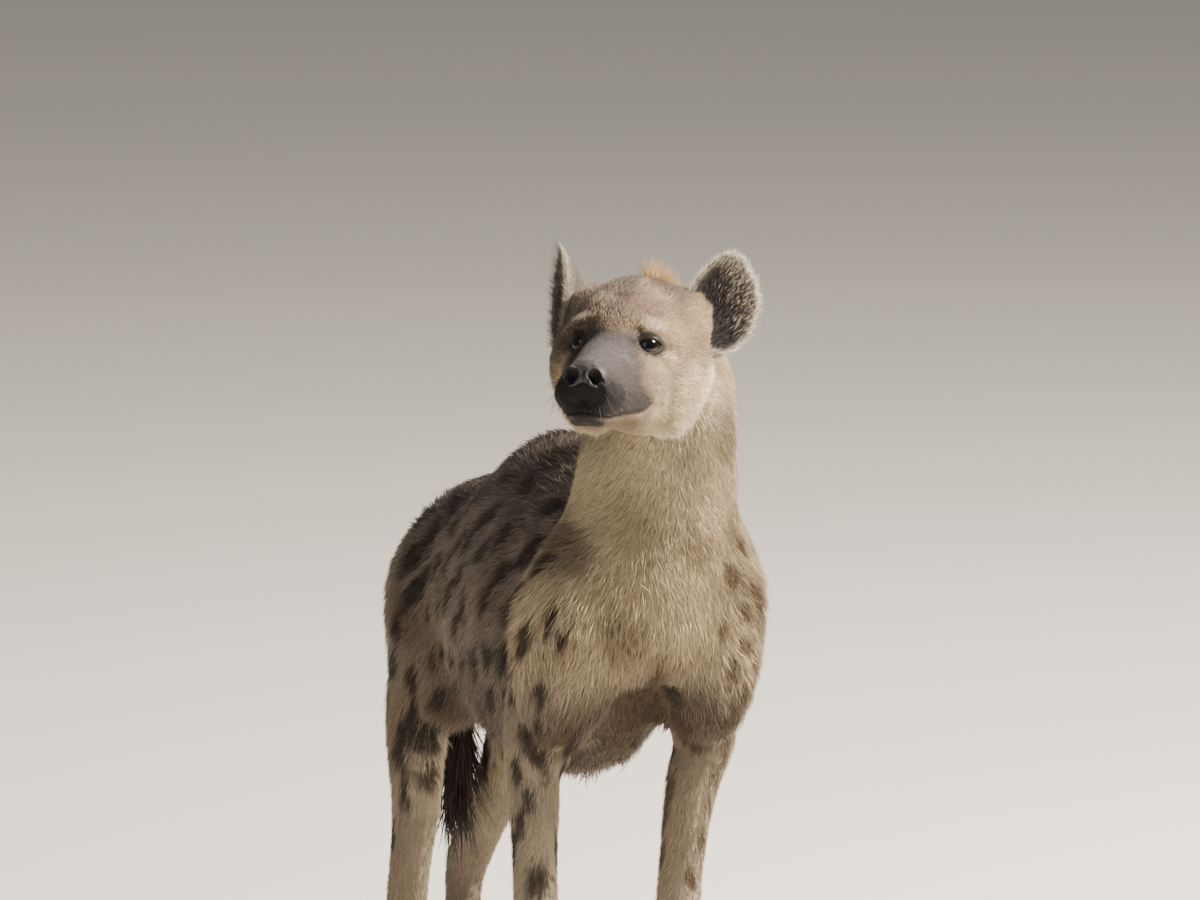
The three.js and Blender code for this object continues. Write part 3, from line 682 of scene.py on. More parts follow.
def by_part(table, default):
    """A table's value for each part, blurred over the borders of the parts."""
    return soft_parts @ np.array([table.get(name.split("_")[0], default) for name in PART_NAMES], float)


def soft_part(*prefixes):
    """How much each point belongs to the parts whose names start like this."""
    return soft_parts[:, [i for i, name in enumerate(PART_NAMES) if name.startswith(prefixes)]].sum(1)


normals = surface.normals()
x, y, z = surface.points.T
local = to_head(surface.points)
length, rise, depth = by_part(COAT, (0.01, 15, 0.002)).T

trunk = soft_part("torso", "neck")
ridge = ramp(normals[:, 2], 0.45, 0.85) * trunk
nape = ramp(z, 0.80, 0.92) * ramp(-y, 0.20, 0.30) * ramp(normals[:, 1], -0.2, 0.4) * trunk
mane = np.maximum(ridge * ramp(-y, -0.15, 0.10), nape)
under = ramp(-normals[:, 2], 0.2, 0.8) * ramp(0.62 - z, 0.0, 0.08) * ramp(y, -0.20, -0.10)
under *= soft_part("torso")
# the brisket is the hollow between the forelegs, under a V of pale chest; painted shade darkens it
cleft_left = np.interp(z, [0.44, 0.49, 0.52, 0.60], [-0.014, -0.010, -0.004, 0.006])
cleft_right = np.interp(z, [0.44, 0.476, 0.52, 0.60], [0.082, 0.074, 0.050, 0.012])
brisket = trunk * ramp(0.605 - z, 0, 0.03) * ramp(-y, 0.10, 0.16)
brisket *= ramp(x - cleft_left, -0.004, 0.010) * ramp(cleft_right - x, -0.004, 0.010)
breast = trunk * ramp(-y, 0.22, 0.34) * ramp(0.82 - z, 0, 0.2)
throat = soft_part("neck") * ramp(-normals[:, 1], 0.1, 0.6)
upper_leg = soft_part("foreleg", "hindleg") * ramp(z, 0.22, 0.50)
brush = soft_part("tail") * ramp(0.56 - z, 0.0, 0.12)
head = soft_head
crown = head * ramp(local[:, 1], 0.05, 0.10) * ramp(local[:, 2], 0.02, 0.06)
cheek = head * ramp(local[:, 1], 0.03, 0.09) * ramp(0.03 - local[:, 2], 0.0, 0.04)
length = length + 0.012 * mane + 0.014 * under + 0.002 * breast - 0.004 * throat
length = length + 0.010 * upper_leg + 0.076 * brush
length = length - 0.012 * brisket
withers = ridge * ramp(-y, 0.10, 0.18)
length = length - 0.012 * withers
rise = rise - 2 * ridge - 5 * withers + 16 * nape * (1 - withers) + 14 * under
depth = depth + 0.004 * upper_leg
face_length = 0.0035 + 0.0075 * ramp(local[:, 1], -0.09, 0.04)
length = length + head * (face_length + 0.010 * crown + 0.013 * cheek - length)
crest = ramp(local[:, 1], 0.088, 0.118) * ramp(local[:, 2], 0.004, 0.036)
crest *= ramp(0.040 - np.abs(local[:, 0] - 0.010), 0, 0.025)
crest *= ramp(0.22 - local[:, 1], 0, 0.05) * soft_part("head", "neck")
length = length + crest * (0.044 - length)
rise = rise + 5 * crown + 6 * cheek + crest * (52 - rise)

lie = by_part(LIE, (0, 1, 0))
back_line = trunk * ramp(normals[:, 2], 0.3, 0.9)
lie += back_line[:, None] * np.array([0, 0.5, 0.9])
lie += under[:, None] * np.array([0, 0.4, 0.0])
lie += breast[:, None] * np.array([0, -0.45, -0.35])
lie += (breast * ramp(np.abs(x), 0.03, 0.09) * np.sign(x))[:, None] * np.array([0.35, 0, 0])
from_nose = unit(local - NOSE_TIP)
from_nose[:, 2] += 0.30 * ramp(local[:, 2], 0, 0.03) - 0.35 * ramp(-local[:, 2], 0.02, 0.08)
lie = lie + head[:, None] * (from_nose @ head_axes.T - lie)
lie = lie + crest[:, None] * (head_axes @ np.array([0, 0.1, 1.0]) - lie)

values = surface.spread(np.column_stack([lie, length, rise, depth]), LIE_BLUR)
lie, length, rise, depth = values[:, :3], values[:, 3], values[:, 4], values[:, 5]
# Hairs on an ear fan out from its base and stand off its rim
on_ear = ear_part != 0
lie = np.where(on_ear[:, None], ear_flow, lie)
length = np.where(on_ear, 0.007 + 0.005 * ear_rim + 0.003 * ear_inside, length)
edge_on = np.degrees(np.arcsin((ear_flow * normals).sum(1).clip(0, 1)))
rise = np.where(on_ear, np.maximum(16 + 14 * ear_inside, edge_on * 0.9), rise)
depth = np.where(on_ear, 0.0004, depth)
lie = tangent(lie, normals)
print("coat length", [round(float(v), 4) for v in (length.min(), np.median(length), length.max())])

# %% [markdown]
# The eyes sit in the skin: inside the slit of the lids the skin drops behind the ball, and round
# it the skin hugs the ball. The eye's own frame looks out along the gaze.

# %% Sockets for the eyes
EYE_TURN = math.radians(33)
EYE_BACK = 0.0034
# the slit reaches this far to the inner and outer corner, up and down from the middle of the eye
SLIT_INNER, SLIT_OUTER, SLIT_TOP, SLIT_LOW = 0.0160, 0.0144, 0.0066, 0.0074
LID_REACH = math.radians(82)
SOCKET_REACH, SOCKET_DEPTH, SKIN_GAP = 0.009, 0.003, 0.0009
FAR_FROM_EYE = 9.0
eye_frame, eye_middle = {}, {}
for side in (1, -1):
    gaze = np.array(head_turn @ Vector((side * math.sin(EYE_TURN), -math.cos(EYE_TURN), 0)))
    outward = np.array(head_turn @ Vector((math.cos(EYE_TURN) * side, math.sin(EYE_TURN), 0)))
    above = np.array(head_turn @ Vector((0, 0, 1)))
    eye_frame[side] = np.array([outward, above, gaze])
    eye_middle[side] = np.array(eye_centre[side]) - gaze * EYE_BACK


def slit(a):
    """Heights of the upper and the lower lid's edge at a place from inner to outer corner."""
    t = ((a + SLIT_INNER) / (SLIT_INNER + SLIT_OUTER)).clip(0, 1)
    middle = -0.0014 + 0.0022 * t
    top = middle + SLIT_TOP * np.sin(math.pi * t ** 0.85) ** 0.6
    low = middle - SLIT_LOW * np.sin(math.pi * t ** 1.20) ** 0.85
    return top, low


surface.points -= normals * depth[:, None]
open_face = np.ones(len(surface.points))
eye_distance = np.full(len(surface.points), FAR_FROM_EYE)
for side in (1, -1):
    offset = surface.points - eye_middle[side]
    a, b, ahead = (offset @ eye_frame[side].T).T
    distance = np.linalg.norm(offset, axis=1)
    near = (distance < EYE_RADIUS + SOCKET_REACH) & (ahead > -0.001) & not_ear
    top, low = slit(a)
    inside = near & (b < top * 1.1 + 0.0006) & (b > low * 1.1 - 0.0006)
    inside &= (a > -SLIT_INNER) & (a < SLIT_OUTER)
    hug = near & ~inside & (distance < EYE_RADIUS + SKIN_GAP)
    direction = offset / distance[:, None]
    for chosen, radius in ((inside, EYE_RADIUS - SOCKET_DEPTH), (hug, EYE_RADIUS + SKIN_GAP)):
        on_ball = eye_middle[side] + direction * radius
        surface.points = np.where(chosen[:, None], on_ball, surface.points)
    beyond = np.hypot((a + 0.001) / 0.0188, (b - 0.0005) / 0.0122)
    open_face = np.where(near, np.minimum(open_face, ramp(beyond, 0.95, 1.15)), open_face)
    eye_distance = np.where(near, np.minimum(eye_distance, beyond), eye_distance)
surface.write()
normals = surface.normals()
lie = tangent(lie, normals)
print("skin points in the sockets:", int((open_face < 1).sum()))

# %% [markdown]
# The markings are painted by rules and not by a picture: ground colours by place on the body,
# darker back and feet, a pale throat, and dark spots over flanks, shoulders and haunches. A spot
# is an oval that runs with the hair. Painted shade darkens the belly, the hollow between the
# forelegs, the deep ear and the crown's top, and the spots on the left breast get painted light.
# Skin and hairs ask the same function.

# %% Colours of skin and coat


def linear(hex_code):
    """Linear colour from an sRGB hex code."""
    parts = [int(hex_code[i:i + 2], 16) / 255 for i in (1, 3, 5)]
    return [v / 12.92 if v <= 0.04045 else ((v + 0.055) / 1.055) ** 2.4 for v in parts]


COLOURS = {name: np.array(linear(code)) for name, code in {
    "flank": "#85786A", "neck": "#B9A88B", "mottle": "#6F5F4E", "belly_shade": "#574839", "back": "#3E322A",
    "leg": "#A99A83", "grey": "#76716D", "foot": "#4E4037", "spot": "#2C2320", "sunlit spot": "#503B2D",
    "tail": "#2A221E", "muzzle": "#3C3637", "muzzle front": "#1D191A", "bridge": "#484243",
    "lip": "#292122", "lower lip": "#B89A86", "face": "#7C6953", "forehead": "#5D4C3C",
    "crown": "#4B3E35", "mark": "#463A36", "brow": "#A2957F", "cheek": "#B8A788",
    "rear cheek": "#D9CEB6", "tan": "#8E7558", "lids": "#1A1413", "crest": "#8F7048",
    "ear back": "#5C534C", "ear inside": "#453D38", "ear hollow shade": "#1C1716", "ear hair": "#A99E8B",
    "rim hair": "#B9AF9E", "leather": "#1F1B1C"}.items()}
SPOT_SPACING = 0.047
SPOT_LENGTHS, SPOT_WIDTHS = (0.015, 0.030), (0.009, 0.0155)
SPOT_REACH = 0.05
SPOT_BLOCK = 20000


def waves(points, size, seed):
    """Smooth noise between about -1 and 1 whose swells are about as wide as size, in metres."""
    source = np.random.default_rng(seed)
    total = np.zeros(len(points))
    for _ in range(10):
        direction = unit(source.normal(size=(1, 3)))[0]
        pitch = 2 * math.pi / (size * source.uniform(1.4, 3.2))
        total += np.sin(points @ direction * pitch + source.uniform(0, 2 * math.pi))
    return total / 3.2


def mix(base, name, share):
    """The base colours, carried towards a named colour by each point's share."""
    return base + (COLOURS[name] - base) * np.clip(share, 0, 1)[:, None]


# The largest spots, in millimetres: place on the right flank and leg or on the left breast and leg,
# then half length and half width. Smaller ones fill the space between.
MAIN_SPOTS = [
    (-61, 132, 667, 26, 18), (-79, 240, 616, 32, 20), (-86, -54, 674, 26, 11), (-68, -172, 681, 34, 12),
    (-90, -120, 645, 27, 11), (-98, 246, 540, 18, 13), (-86, 169, 558, 18, 10), (-101, 12, 567, 24, 11),
    (-83, 129, 523, 17, 10), (-93, 212, 481, 24, 14), (-124, -310, 604, 22, 14), (-107, -341, 636, 15, 8),
    (-100, -354, 615, 15, 8), (-114, -332, 561, 18, 9), (-108, -306, 511, 16, 8), (-109, -235, 448, 18, 9),
    (-100, -244, 420, 15, 8), (-106, -234, 390, 18, 9), (-99, 252, 380, 19, 12), (-95, 248, 334, 16, 10),
    (-95, 286, 280, 16, 10), (83, -370, 625, 12, 8), (110, -361, 599, 14, 9), (128, -348, 585, 13, 9),
    (115, -344, 545, 13, 8), (127, -257, 456, 14, 8), (115, -257, 430, 12, 8), (110, -252, 400, 14, 8),
    (97, -257, 360, 16, 8), (84, -262, 316, 16, 8), (100, -365, 680, 14, 9), (125, -345, 650, 15, 10),
    (135, -330, 620, 13, 10), (118, -350, 708, 13, 8), (95, -370, 575, 12, 8), (104, -352, 640, 12, 7),
]
rng = np.random.default_rng(23)
spotted = is_part(parts, "torso", "foreleg", "hindleg") * (1 - mane) * (1 - brisket)
spotted *= (ramp(z, 0.26, 0.38) * (1 - under) * (1 - trunk * ramp(-y, 0.29, 0.34))
            * ramp(np.abs(x), 0.02, 0.05))
candidates = np.flatnonzero(spotted > 0.5)
rng.shuffle(candidates)
body_tree = tree_of(surface.points)
spot_roots = [body_tree.find((x / 1000, y / 1000, z / 1000))[1] for x, y, z, *_ in MAIN_SPOTS]
for i in candidates:
    gap = SPOT_SPACING * rng.uniform(0.75, 1.15)
    if np.linalg.norm(surface.points[spot_roots] - surface.points[i], axis=1).min() > gap:
        spot_roots.append(i)
spot_centre = surface.points[spot_roots]
spot_lie = lie[spot_roots]
spot_across = np.cross(normals[spot_roots], spot_lie)
spot_long = rng.uniform(*SPOT_LENGTHS, len(spot_roots))
spot_wide = rng.uniform(*SPOT_WIDTHS, len(spot_roots))
spot_long[:len(MAIN_SPOTS)] = [spot[3] / 1000 for spot in MAIN_SPOTS]
spot_wide[:len(MAIN_SPOTS)] = [spot[4] / 1000 for spot in MAIN_SPOTS]
print("spots:", len(spot_roots))


def spot_share(points):
    """How far each point is inside a spot, with ragged edges."""
    share = np.zeros(len(points))
    wobble = 1 + 0.25 * waves(points, 0.012, 5)
    for start in range(0, len(points), SPOT_BLOCK):
        block = slice(start, start + SPOT_BLOCK)
        offset = points[block, None, :] - spot_centre[None]
        along = np.einsum("ijk,jk->ij", offset, spot_lie) / spot_long
        aside = np.einsum("ijk,jk->ij", offset, spot_across) / spot_wide
        far = np.einsum("ijk,ijk->ij", offset, offset) > SPOT_REACH ** 2
        measure = np.sqrt(along ** 2 + aside ** 2) + far * 9
        share[block] = 1 - ramp(measure.min(1) * wobble[block], 0.75, 1.2)
    return share


# Where the dark of the muzzle ends, at heights in the head's frame
MUZZLE_EDGE_Z = [-0.110, -0.092, -0.086, -0.075, -0.066, -0.057,
                 -0.045, -0.030, -0.012, 0.004, 0.014, 0.030]
MUZZLE_EDGE_Y = [-0.078, -0.078, -0.050, -0.022, -0.010, -0.022,
                 -0.034, -0.034, -0.026, -0.022, -0.034, -0.080]


def plain(name, count):
    """One colour, once for each of so many points."""
    return np.tile(COLOURS[name], (count, 1))


def face_colour(points):
    """Colours of the head, worked out in its own frame and alike on both sides but for one mark."""
    local = to_head(points)
    x, y, z = np.abs(local[:, 0]), local[:, 1], local[:, 2]
    blur = 0.005 * waves(points, 0.014, 41)
    grain = waves(points, 0.020, 42)
    face = plain("face", len(points))
    face = mix(face, "forehead", ramp(z, 0.004, 0.034) * ramp(0.074 - x, 0, 0.03))
    # the crown is a darker brown, and this also paints shade along its top edge
    face = mix(face, "crown", ramp(z + 0.4 * y, 0.052, 0.088) * ramp(0.074 - x, 0, 0.03) * 0.95)
    face = mix(face, "cheek", ramp(y, -0.028, 0.03) * ramp(0.004 - z + blur, 0, 0.035))
    face = mix(face, "tan", ramp(grain, 0.0, 1.0) * ramp(y, -0.02, 0.02) * 0.6)
    face = mix(face, "rear cheek", ramp(y + blur, 0.030, 0.066) * ramp(0.004 - z, 0, 0.03) * 0.8)
    spot_above = np.hypot((x - 0.047) / 0.019, np.hypot((y + 0.006) / 0.022, (z - 0.0225) / 0.0080))
    face = mix(face, "brow", (1 - ramp(spot_above, 0.4, 1.3)) * 0.40)
    mark = np.hypot((local[:, 0] - 0.004) / 0.011, (z - 0.052) / 0.022) + 30 * (y > 0.03)
    face = mix(face, "mark", (1 - ramp(mark + 20 * blur, 0.3, 1.2)) * 0.8)
    edge = np.interp(z, MUZZLE_EDGE_Z, MUZZLE_EDGE_Y)
    soft = 0.007 + 0.013 * ramp(z, -0.010, 0.012)
    dark = ((edge - y + blur) / (2 * soft) + 0.5).clip(0, 1)
    face = mix(face, "muzzle", dark * 0.97)
    face = mix(face, "bridge", dark * ramp(z, -0.045, -0.010) * 0.7)
    front = ramp(-y + 0.3 * blur, 0.066, 0.100) * ramp(-0.030 - z, 0, 0.030)
    face = mix(face, "muzzle front", np.maximum(front, dark * ramp(-0.078 - z, 0, 0.010) * 0.7))
    tear_line = np.hypot((x - 0.033) / 0.006, (y + 0.022) / 0.012) + 60 * np.abs(z)
    face = mix(face, "muzzle front", (1 - ramp(tear_line, 0.8, 1.6)) * 0.7)
    return mix(face, "crest", ramp(y, 0.060, 0.10) * ramp(z, 0.03, 0.06) * 0.5)


def coat_colour(points, normals, parts, extra):
    """Ground colour, markings, and painted shade and light at places on the body. extra holds the fields
    of skin_extra.
    """
    x, y, z = points.T
    beyond_head = 1 - extra["head"]
    base = plain("flank", len(points))
    base = mix(base, "grey", (0.5 + 0.5 * waves(points, 0.09, 61)) * 0.5)
    base = mix(base, "neck", ramp(-y, 0.16, 0.32) * ramp(z, 0.50, 0.62))
    base = mix(base, "mottle", ramp(waves(points, 0.040, 62), 0.1, 1.0) * 0.6 * beyond_head)
    # painted shade: the underside and the brisket between the forelegs turn a dark brown, partly the
    # belly's own colour and partly painted shade
    belly_shade = ramp(-normals[:, 2], 0.1, 0.7) * ramp(0.60 - z, 0, 0.1)
    base = mix(base, "belly_shade", np.maximum(belly_shade, extra["brisket"]))
    base = mix(base, "back", ramp(normals[:, 2], 0.25, 0.85) * ramp(z, 0.60, 0.70) * beyond_head * 0.85)
    edge = ramp(x, 0.088, 0.118) * ramp(z, 0.58, 0.68) * (1 - ramp(z, 0.80, 0.88)) * beyond_head
    base = mix(base, "mottle", edge * ramp(waves(points, 0.025, 63), -0.6, 0.8) * 0.8)
    base = mix(base, "leg", extra["leg"] * 0.7)
    base = mix(base, "foot", ramp(0.22 - z, -0.06, 0.14) * 0.85)
    spots = spot_share(points)
    # painted light: on the left breast and shoulder the spots are painted a lighter brown, as if in
    # sunlight
    sunlit_side = ramp(x, 0.05, 0.08) * ramp(-y, 0.20, 0.26)
    base = mix(base, "spot", spots * 0.93 * (1 - sunlit_side))
    base = mix(base, "sunlit spot", spots * 0.85 * sunlit_side)
    base = mix(base, "tail", extra["tail"] * ramp(0.56 - z, 0, 0.14))
    face = face_colour(points)
    mouth, along = extra["mouth"], extra["along"]
    face = mix(face, "lower lip", falloff((mouth - 0.0050) / 0.0060) * (extra["above"] < 0)
               * ramp(along, 0.12, 0.5) * (1 - ramp(along, 0.8, 1.0)) * 0.7)
    face = mix(face, "lip", (1 - ramp(mouth, 0.0006, 0.0026)) * (0.9 - 0.4 * ramp(along, 0.8, 1)))
    face = mix(face, "lids", (1 - ramp(extra["eye"], 0.98, 1.30)) * 0.92)
    base = base + extra["head"][:, None] * (face - base)
    base = mix(base, "crest", extra["crest"] * 0.9)
    ear = mix(plain("ear back", len(points)), "ear inside", extra["inside"])
    # painted shade: deep in the hollow of the ear the colour goes nearly black
    ear = mix(ear, "ear hollow shade", extra["inside"] * extra["deep"])
    ear = mix(ear, "rim hair", extra["rim"] * 0.85)
    base = np.where(is_part(parts, "ear")[:, None] > 0, ear, base)
    shade = 1 + 0.10 * waves(points, 0.035, 11) + 0.06 * waves(points, 0.010, 12)
    return base * shade.clip(0.6, 1.4)[:, None]


def paint(mesh, colours):
    """Keeps a colour on each point of the mesh, for its material."""
    layer = mesh.color_attributes.new("Coat", "BYTE_COLOR", "POINT")
    rgba = np.ones((len(colours), 4), np.float32)
    rgba[:, :3] = colours.clip(0, 1)
    layer.data.foreach_set("color", rgba.ravel())


# The skin is painted darker than its hair: painted shade, as between the roots of a coat
SKIN_SHADE = 0.60
skin_extra = {"mouth": mouth_distance, "above": mouth_above, "along": mouth_along, "eye": eye_distance,
              "inside": ear_inside, "rim": ear_rim, "deep": ear_deep, "head": soft_head, "crest": crest,
              "leg": soft_part("foreleg", "hindleg"), "tail": soft_part("tail"), "brisket": brisket}
paint(skin_mesh, coat_colour(surface.points, normals, parts, skin_extra) * SKIN_SHADE)
print("fields of the colours:", *skin_extra)

# %% [markdown]
# Each tuft is a closed spike of a few hairs. The long ones have a triangle of points at the root
# under the skin, one where they bend, and a tip; the short ones run straight from root to tip.
# Tufts overlap like tiles along the lie of the coat. Their tips lean towards a common point here
# and there, which gives the rough clumps of a real coat.

# %% Tufts as meshes
ROOT_SINK = 0.0015
RING = [(math.cos(a), math.sin(a)) for a in (math.pi / 2, math.pi * 7 / 6, math.pi * 11 / 6)]
BENT_FACES = [(0, 2, 1), (0, 1, 4), (0, 4, 3), (1, 2, 5), (1, 5, 4), (2, 0, 3), (2, 3, 5),
              (3, 4, 6), (4, 5, 6), (5, 3, 6)]
STRAIGHT_FACES = [(0, 2, 1), (0, 1, 3), (1, 2, 3), (2, 0, 3)]
# how light a tuft is at its roots, at its bend and at its tip
BENT_TONES, STRAIGHT_TONES = [0.70] * 3 + [0.93] * 3 + [0.98], [0.76] * 3 + [1.02]
FLATNESS = 0.28
TUFTS_TO_A_CLUMP = 12


def place_tufts(count, weight, seed):
    """Roots spread over the skin by a weight at each point: places and the skin's values there."""
    source = np.random.default_rng(seed)
    corners = surface.points[surface.triangles]
    chosen, share, _ = scatter(source, corners, count, weight[surface.triangles].mean(1))
    index = surface.triangles[chosen]

    def at(values):
        return np.einsum("ij,ij...->i...", share, values[index])

    root_normals = unit(at(normals))
    tufts = {"place": at(surface.points), "normal": root_normals, "lie": tangent(at(lie), root_normals),
             "length": at(length), "rise": at(rise), "source": source,
             "part": parts[index[np.arange(count), share.argmax(1)]]}
    extra = {key: at(value) for key, value in skin_extra.items()}
    colours = coat_colour(tufts["place"], root_normals, tufts["part"], extra)
    # pale hairs in the ears and on the dark of the face, and lighter and darker ones everywhere
    on_head = extra["head"]
    pale = source.random(count) < 0.30 * extra["inside"] * (1 - extra["deep"])
    colours[pale] = COLOURS["ear hair"]
    colours += 0.07 * (on_head * (source.random(count) < 0.22) * (colours.mean(1) < 0.2))[:, None]
    grizzle = 0.10 + 0.12 * on_head
    shade = source.normal(1, 0.10 + 0.05 * on_head, count)
    shade = shade * np.where(source.random(count) < grizzle, 1.12 + 0.36 * on_head, 1)
    shade *= np.where(source.random(count) < grizzle, 0.62, 1)
    tufts["colour"] = colours * (1.06 * shade).clip(0.5, 1.7)[:, None]
    return tufts


def tuft_points(tufts, width, bent, clump, longer):
    """The rings and tips of all tufts, their faces, and how light each point is."""
    # each tuft turns, bends and stretches by chance, and whole patches turn together
    source, count = tufts["source"], len(tufts["place"])
    place, normal, flow = tufts["place"], tufts["normal"], tufts["lie"]
    side = np.cross(normal, flow)
    turn = source.normal(0, 0.15, count)[:, None] + 0.25 * waves(place, 0.05, 31)[:, None]
    flow = unit(flow + side * turn)
    side = np.cross(normal, flow)
    size = (tufts["length"] * longer * source.uniform(0.7, 1.2, count))[:, None]
    angle = np.radians(tufts["rise"] * source.uniform(0.6, 1.35, count))[:, None]
    curl = source.normal(0, 0.10, count)[:, None] * side
    middle = place + size * 0.5 * (np.cos(angle) * flow + np.sin(angle) * normal)
    tip = place + size * (np.cos(angle * 0.75) * (flow + curl) + np.sin(angle * 0.75) * normal)
    if clump:
        clumps = place[source.choice(count, max(count // TUFTS_TO_A_CLUMP, 1), replace=False)]
        finder = tree_of(clumps)
        pull = np.array([clumps[finder.find(p)[1]] for p in place.tolist()]) - place
        pull -= (pull * normal).sum(1, keepdims=True) * normal
        pull *= clump * (np.linalg.norm(pull, axis=1, keepdims=True) < 0.6 * size)
        tip += pull
        middle += pull * 0.4
    across = (width * source.uniform(0.75, 1.3, count))[:, None]
    sunk = place - normal * ROOT_SINK
    section = [0.5 * c * side + FLATNESS * s * normal for c, s in RING]
    points = [sunk + across * corner for corner in section]
    if bent:
        points += [middle + across * 0.85 * corner for corner in section]
    points.append(tip)
    faces, tones = (BENT_FACES, BENT_TONES) if bent else (STRAIGHT_FACES, STRAIGHT_TONES)
    return np.stack(points, 1), np.array(faces), np.array(tones)


def unwrap(places):
    """Places on a rolled-out cylinder, between 0 and 1: round the piece, and along it."""
    low, high = places.min(0), places.max(0)
    centre = (low + high) / 2
    axis = int(np.argmax(high - low))
    one, two = [k for k in range(3) if k != axis]
    around = np.arctan2(places[:, one] - centre[one], places[:, two] - centre[two]) / (2 * math.pi) + 0.5
    along = (places[:, axis] - low[axis]) / (high[axis] - low[axis])
    return np.stack([around, along], 1) * 0.99 + 0.005


# from the middle of a tuft's patch on the unwrap to its corners
PATCH = 0.0015


def add_piece(name, mesh, material, nodes):
    """A smooth, finished piece that rides on the root body in place of CAD nodes."""
    mesh.materials.append(material)
    mesh.polygons.foreach_set("use_smooth", np.ones(len(mesh.polygons), bool))
    mesh.update()
    piece = bpy.data.objects.new(name, mesh)
    scene.collection.objects.link(piece)
    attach(piece, "root")
    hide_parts(*nodes)
    return piece


def coat_piece(name, tufts, shape, chosen, material, nodes):
    """One mesh of chosen tufts, with colours and an unwrap for baking."""
    points, faces, tones = shape
    count, per = len(chosen), points.shape[1]
    mesh = bpy.data.meshes.new(name)
    vertices = points[chosen].reshape(-1, 3)
    index = (faces[None] + (np.arange(count) * per)[:, None, None]).reshape(-1, 3)
    mesh.vertices.add(len(vertices))
    mesh.vertices.foreach_set("co", vertices.astype(np.float32).ravel())
    mesh.loops.add(index.size)
    mesh.loops.foreach_set("vertex_index", index.astype(np.int32).ravel())
    mesh.polygons.add(len(index))
    mesh.polygons.foreach_set("loop_start", np.arange(0, index.size, 3, dtype=np.int32))
    mesh.update(calc_edges=True)
    paint(mesh, (tufts["colour"][chosen][:, None, :] * tones[None, :, None]).reshape(-1, 3))
    circle = np.array([(math.cos(a), math.sin(a)) for a in np.arange(per) * 2.4]) * PATCH
    uv = unwrap(tufts["place"][chosen])[:, None, :] + circle[None]
    layer = mesh.uv_layers.new(name="OFBake")
    layer.data.foreach_set("uv", uv.reshape(-1, 2)[index.ravel()].astype(np.float32).ravel())
    return add_piece(name, mesh, material, nodes)


# %% [markdown]
# Hair scatters light and has a soft shine. Skin under it is matt. The nose is moist leather, and
# the eye is a dark ball under a clear, wet surface. A picture could be laid over all of it, but
# the colours are kept on the points of each mesh, so every hair has the colour of its own place.

# %% Materials


def node(tree, kind, settings=None, links=None):
    """Adds a shader node with its settings and its incoming links."""
    made = tree.nodes.new(kind)
    for key, value in (settings or {}).items():
        if isinstance(key, str) and hasattr(made, key):
            setattr(made, key, value)
        else:
            made.inputs[key].default_value = value
    for key, socket in (links or {}).items():
        tree.links.new(socket, made.inputs[key])
    return made


def new_material(name, settings):
    """A material with settings on its Principled shader, its node tree, and the shader."""
    material = bpy.data.materials.new(name)
    material.use_nodes = True
    shader = material.node_tree.nodes["Principled BSDF"]
    for socket, value in settings.items():
        shader.inputs[socket].default_value = value
    return material, material.node_tree, shader


def painted_material(name, settings, kind=None, pattern=None, output="", strength=0.0, depth=0.0):
    """A finish that takes its colour from the paint, and its relief from a kind of pattern."""
    material, tree, shader = new_material(name, settings)
    colour = node(tree, "ShaderNodeAttribute", {"attribute_name": "Coat"})
    tree.links.new(colour.outputs["Color"], shader.inputs["Base Color"])
    if kind:
        place = node(tree, "ShaderNodeTexCoord")
        texture = node(tree, kind, pattern, {"Vector": place.outputs["Object"]})
        relief = node(tree, "ShaderNodeBump", {"Strength": strength, "Distance": depth},
                      {"Height": texture.outputs[output]})
        tree.links.new(relief.outputs["Normal"], shader.inputs["Normal"])
    return material


# Grain of skin and leather in metres: finer than a millimetre it wouldn't show in the picture
GRAIN = 1 / 900
CREASES = {"Scale": 1 / GRAIN, "Detail": 3.0}
PEBBLES = {"Scale": 1 / GRAIN}
# Keratin: a hair is matt from afar, with a weak shine where the light runs along it
hair = painted_material("coat hair", {"Roughness": 0.6, "Specular IOR Level": 0.25})
# Skin under short down: matt, because the down scatters the light, and slightly uneven
skin_finish = painted_material("short-furred skin", {"Roughness": 0.8, "Specular IOR Level": 0.25},
                               "ShaderNodeTexNoise", CREASES, "Fac", 0.6, 0.0008)
# Bare lid skin: smoother, with creases too fine to see one by one
lid_finish = painted_material("lid skin", {"Roughness": 0.6, "Specular IOR Level": 0.25},
                              "ShaderNodeTexNoise", CREASES, "Fac", 0.6, 0.0002)
# Moist, pebbled leather: nearly black, with a soft gloss that breaks up on its pebbles
leather = painted_material("nose leather", {"Roughness": 0.58},
                           "ShaderNodeTexVoronoi", PEBBLES, "Distance", 0.35, 0.0003)

# Glass: the ball itself has no shine, which all comes from the clear coat over its brown iris
eye_finish, tree, shader = new_material("glass eye", {
    "Roughness": 0.6, "Specular IOR Level": 0.0, "Coat Weight": 0.8, "Coat Roughness": 0.02})
gaze = node(tree, "ShaderNodeAttribute", {"attribute_name": "Gaze"})
ring = node(tree, "ShaderNodeValToRGB", None, {"Fac": gaze.outputs["Fac"]})
pupil, iris = ring.color_ramp.elements
pupil.position, iris.position = 0.24, 0.29
pupil.color, iris.color = (0.002, 0.002, 0.002, 1), (*linear("#100906"), 1)
for position, code in ((0.50, "#1B100A"), (0.60, "#080505"), (0.9, "#120D0B")):
    ring.color_ramp.elements.new(position).color = (*linear(code), 1)
tree.links.new(ring.outputs["Color"], shader.inputs["Base Color"])

# Horn of the claws: dark, smooth and slightly waxy
horn, *_ = new_material("claw horn", {"Base Color": (*linear("#251F1A"), 1), "Roughness": 0.45})
print("finishes:", len(bpy.data.materials))

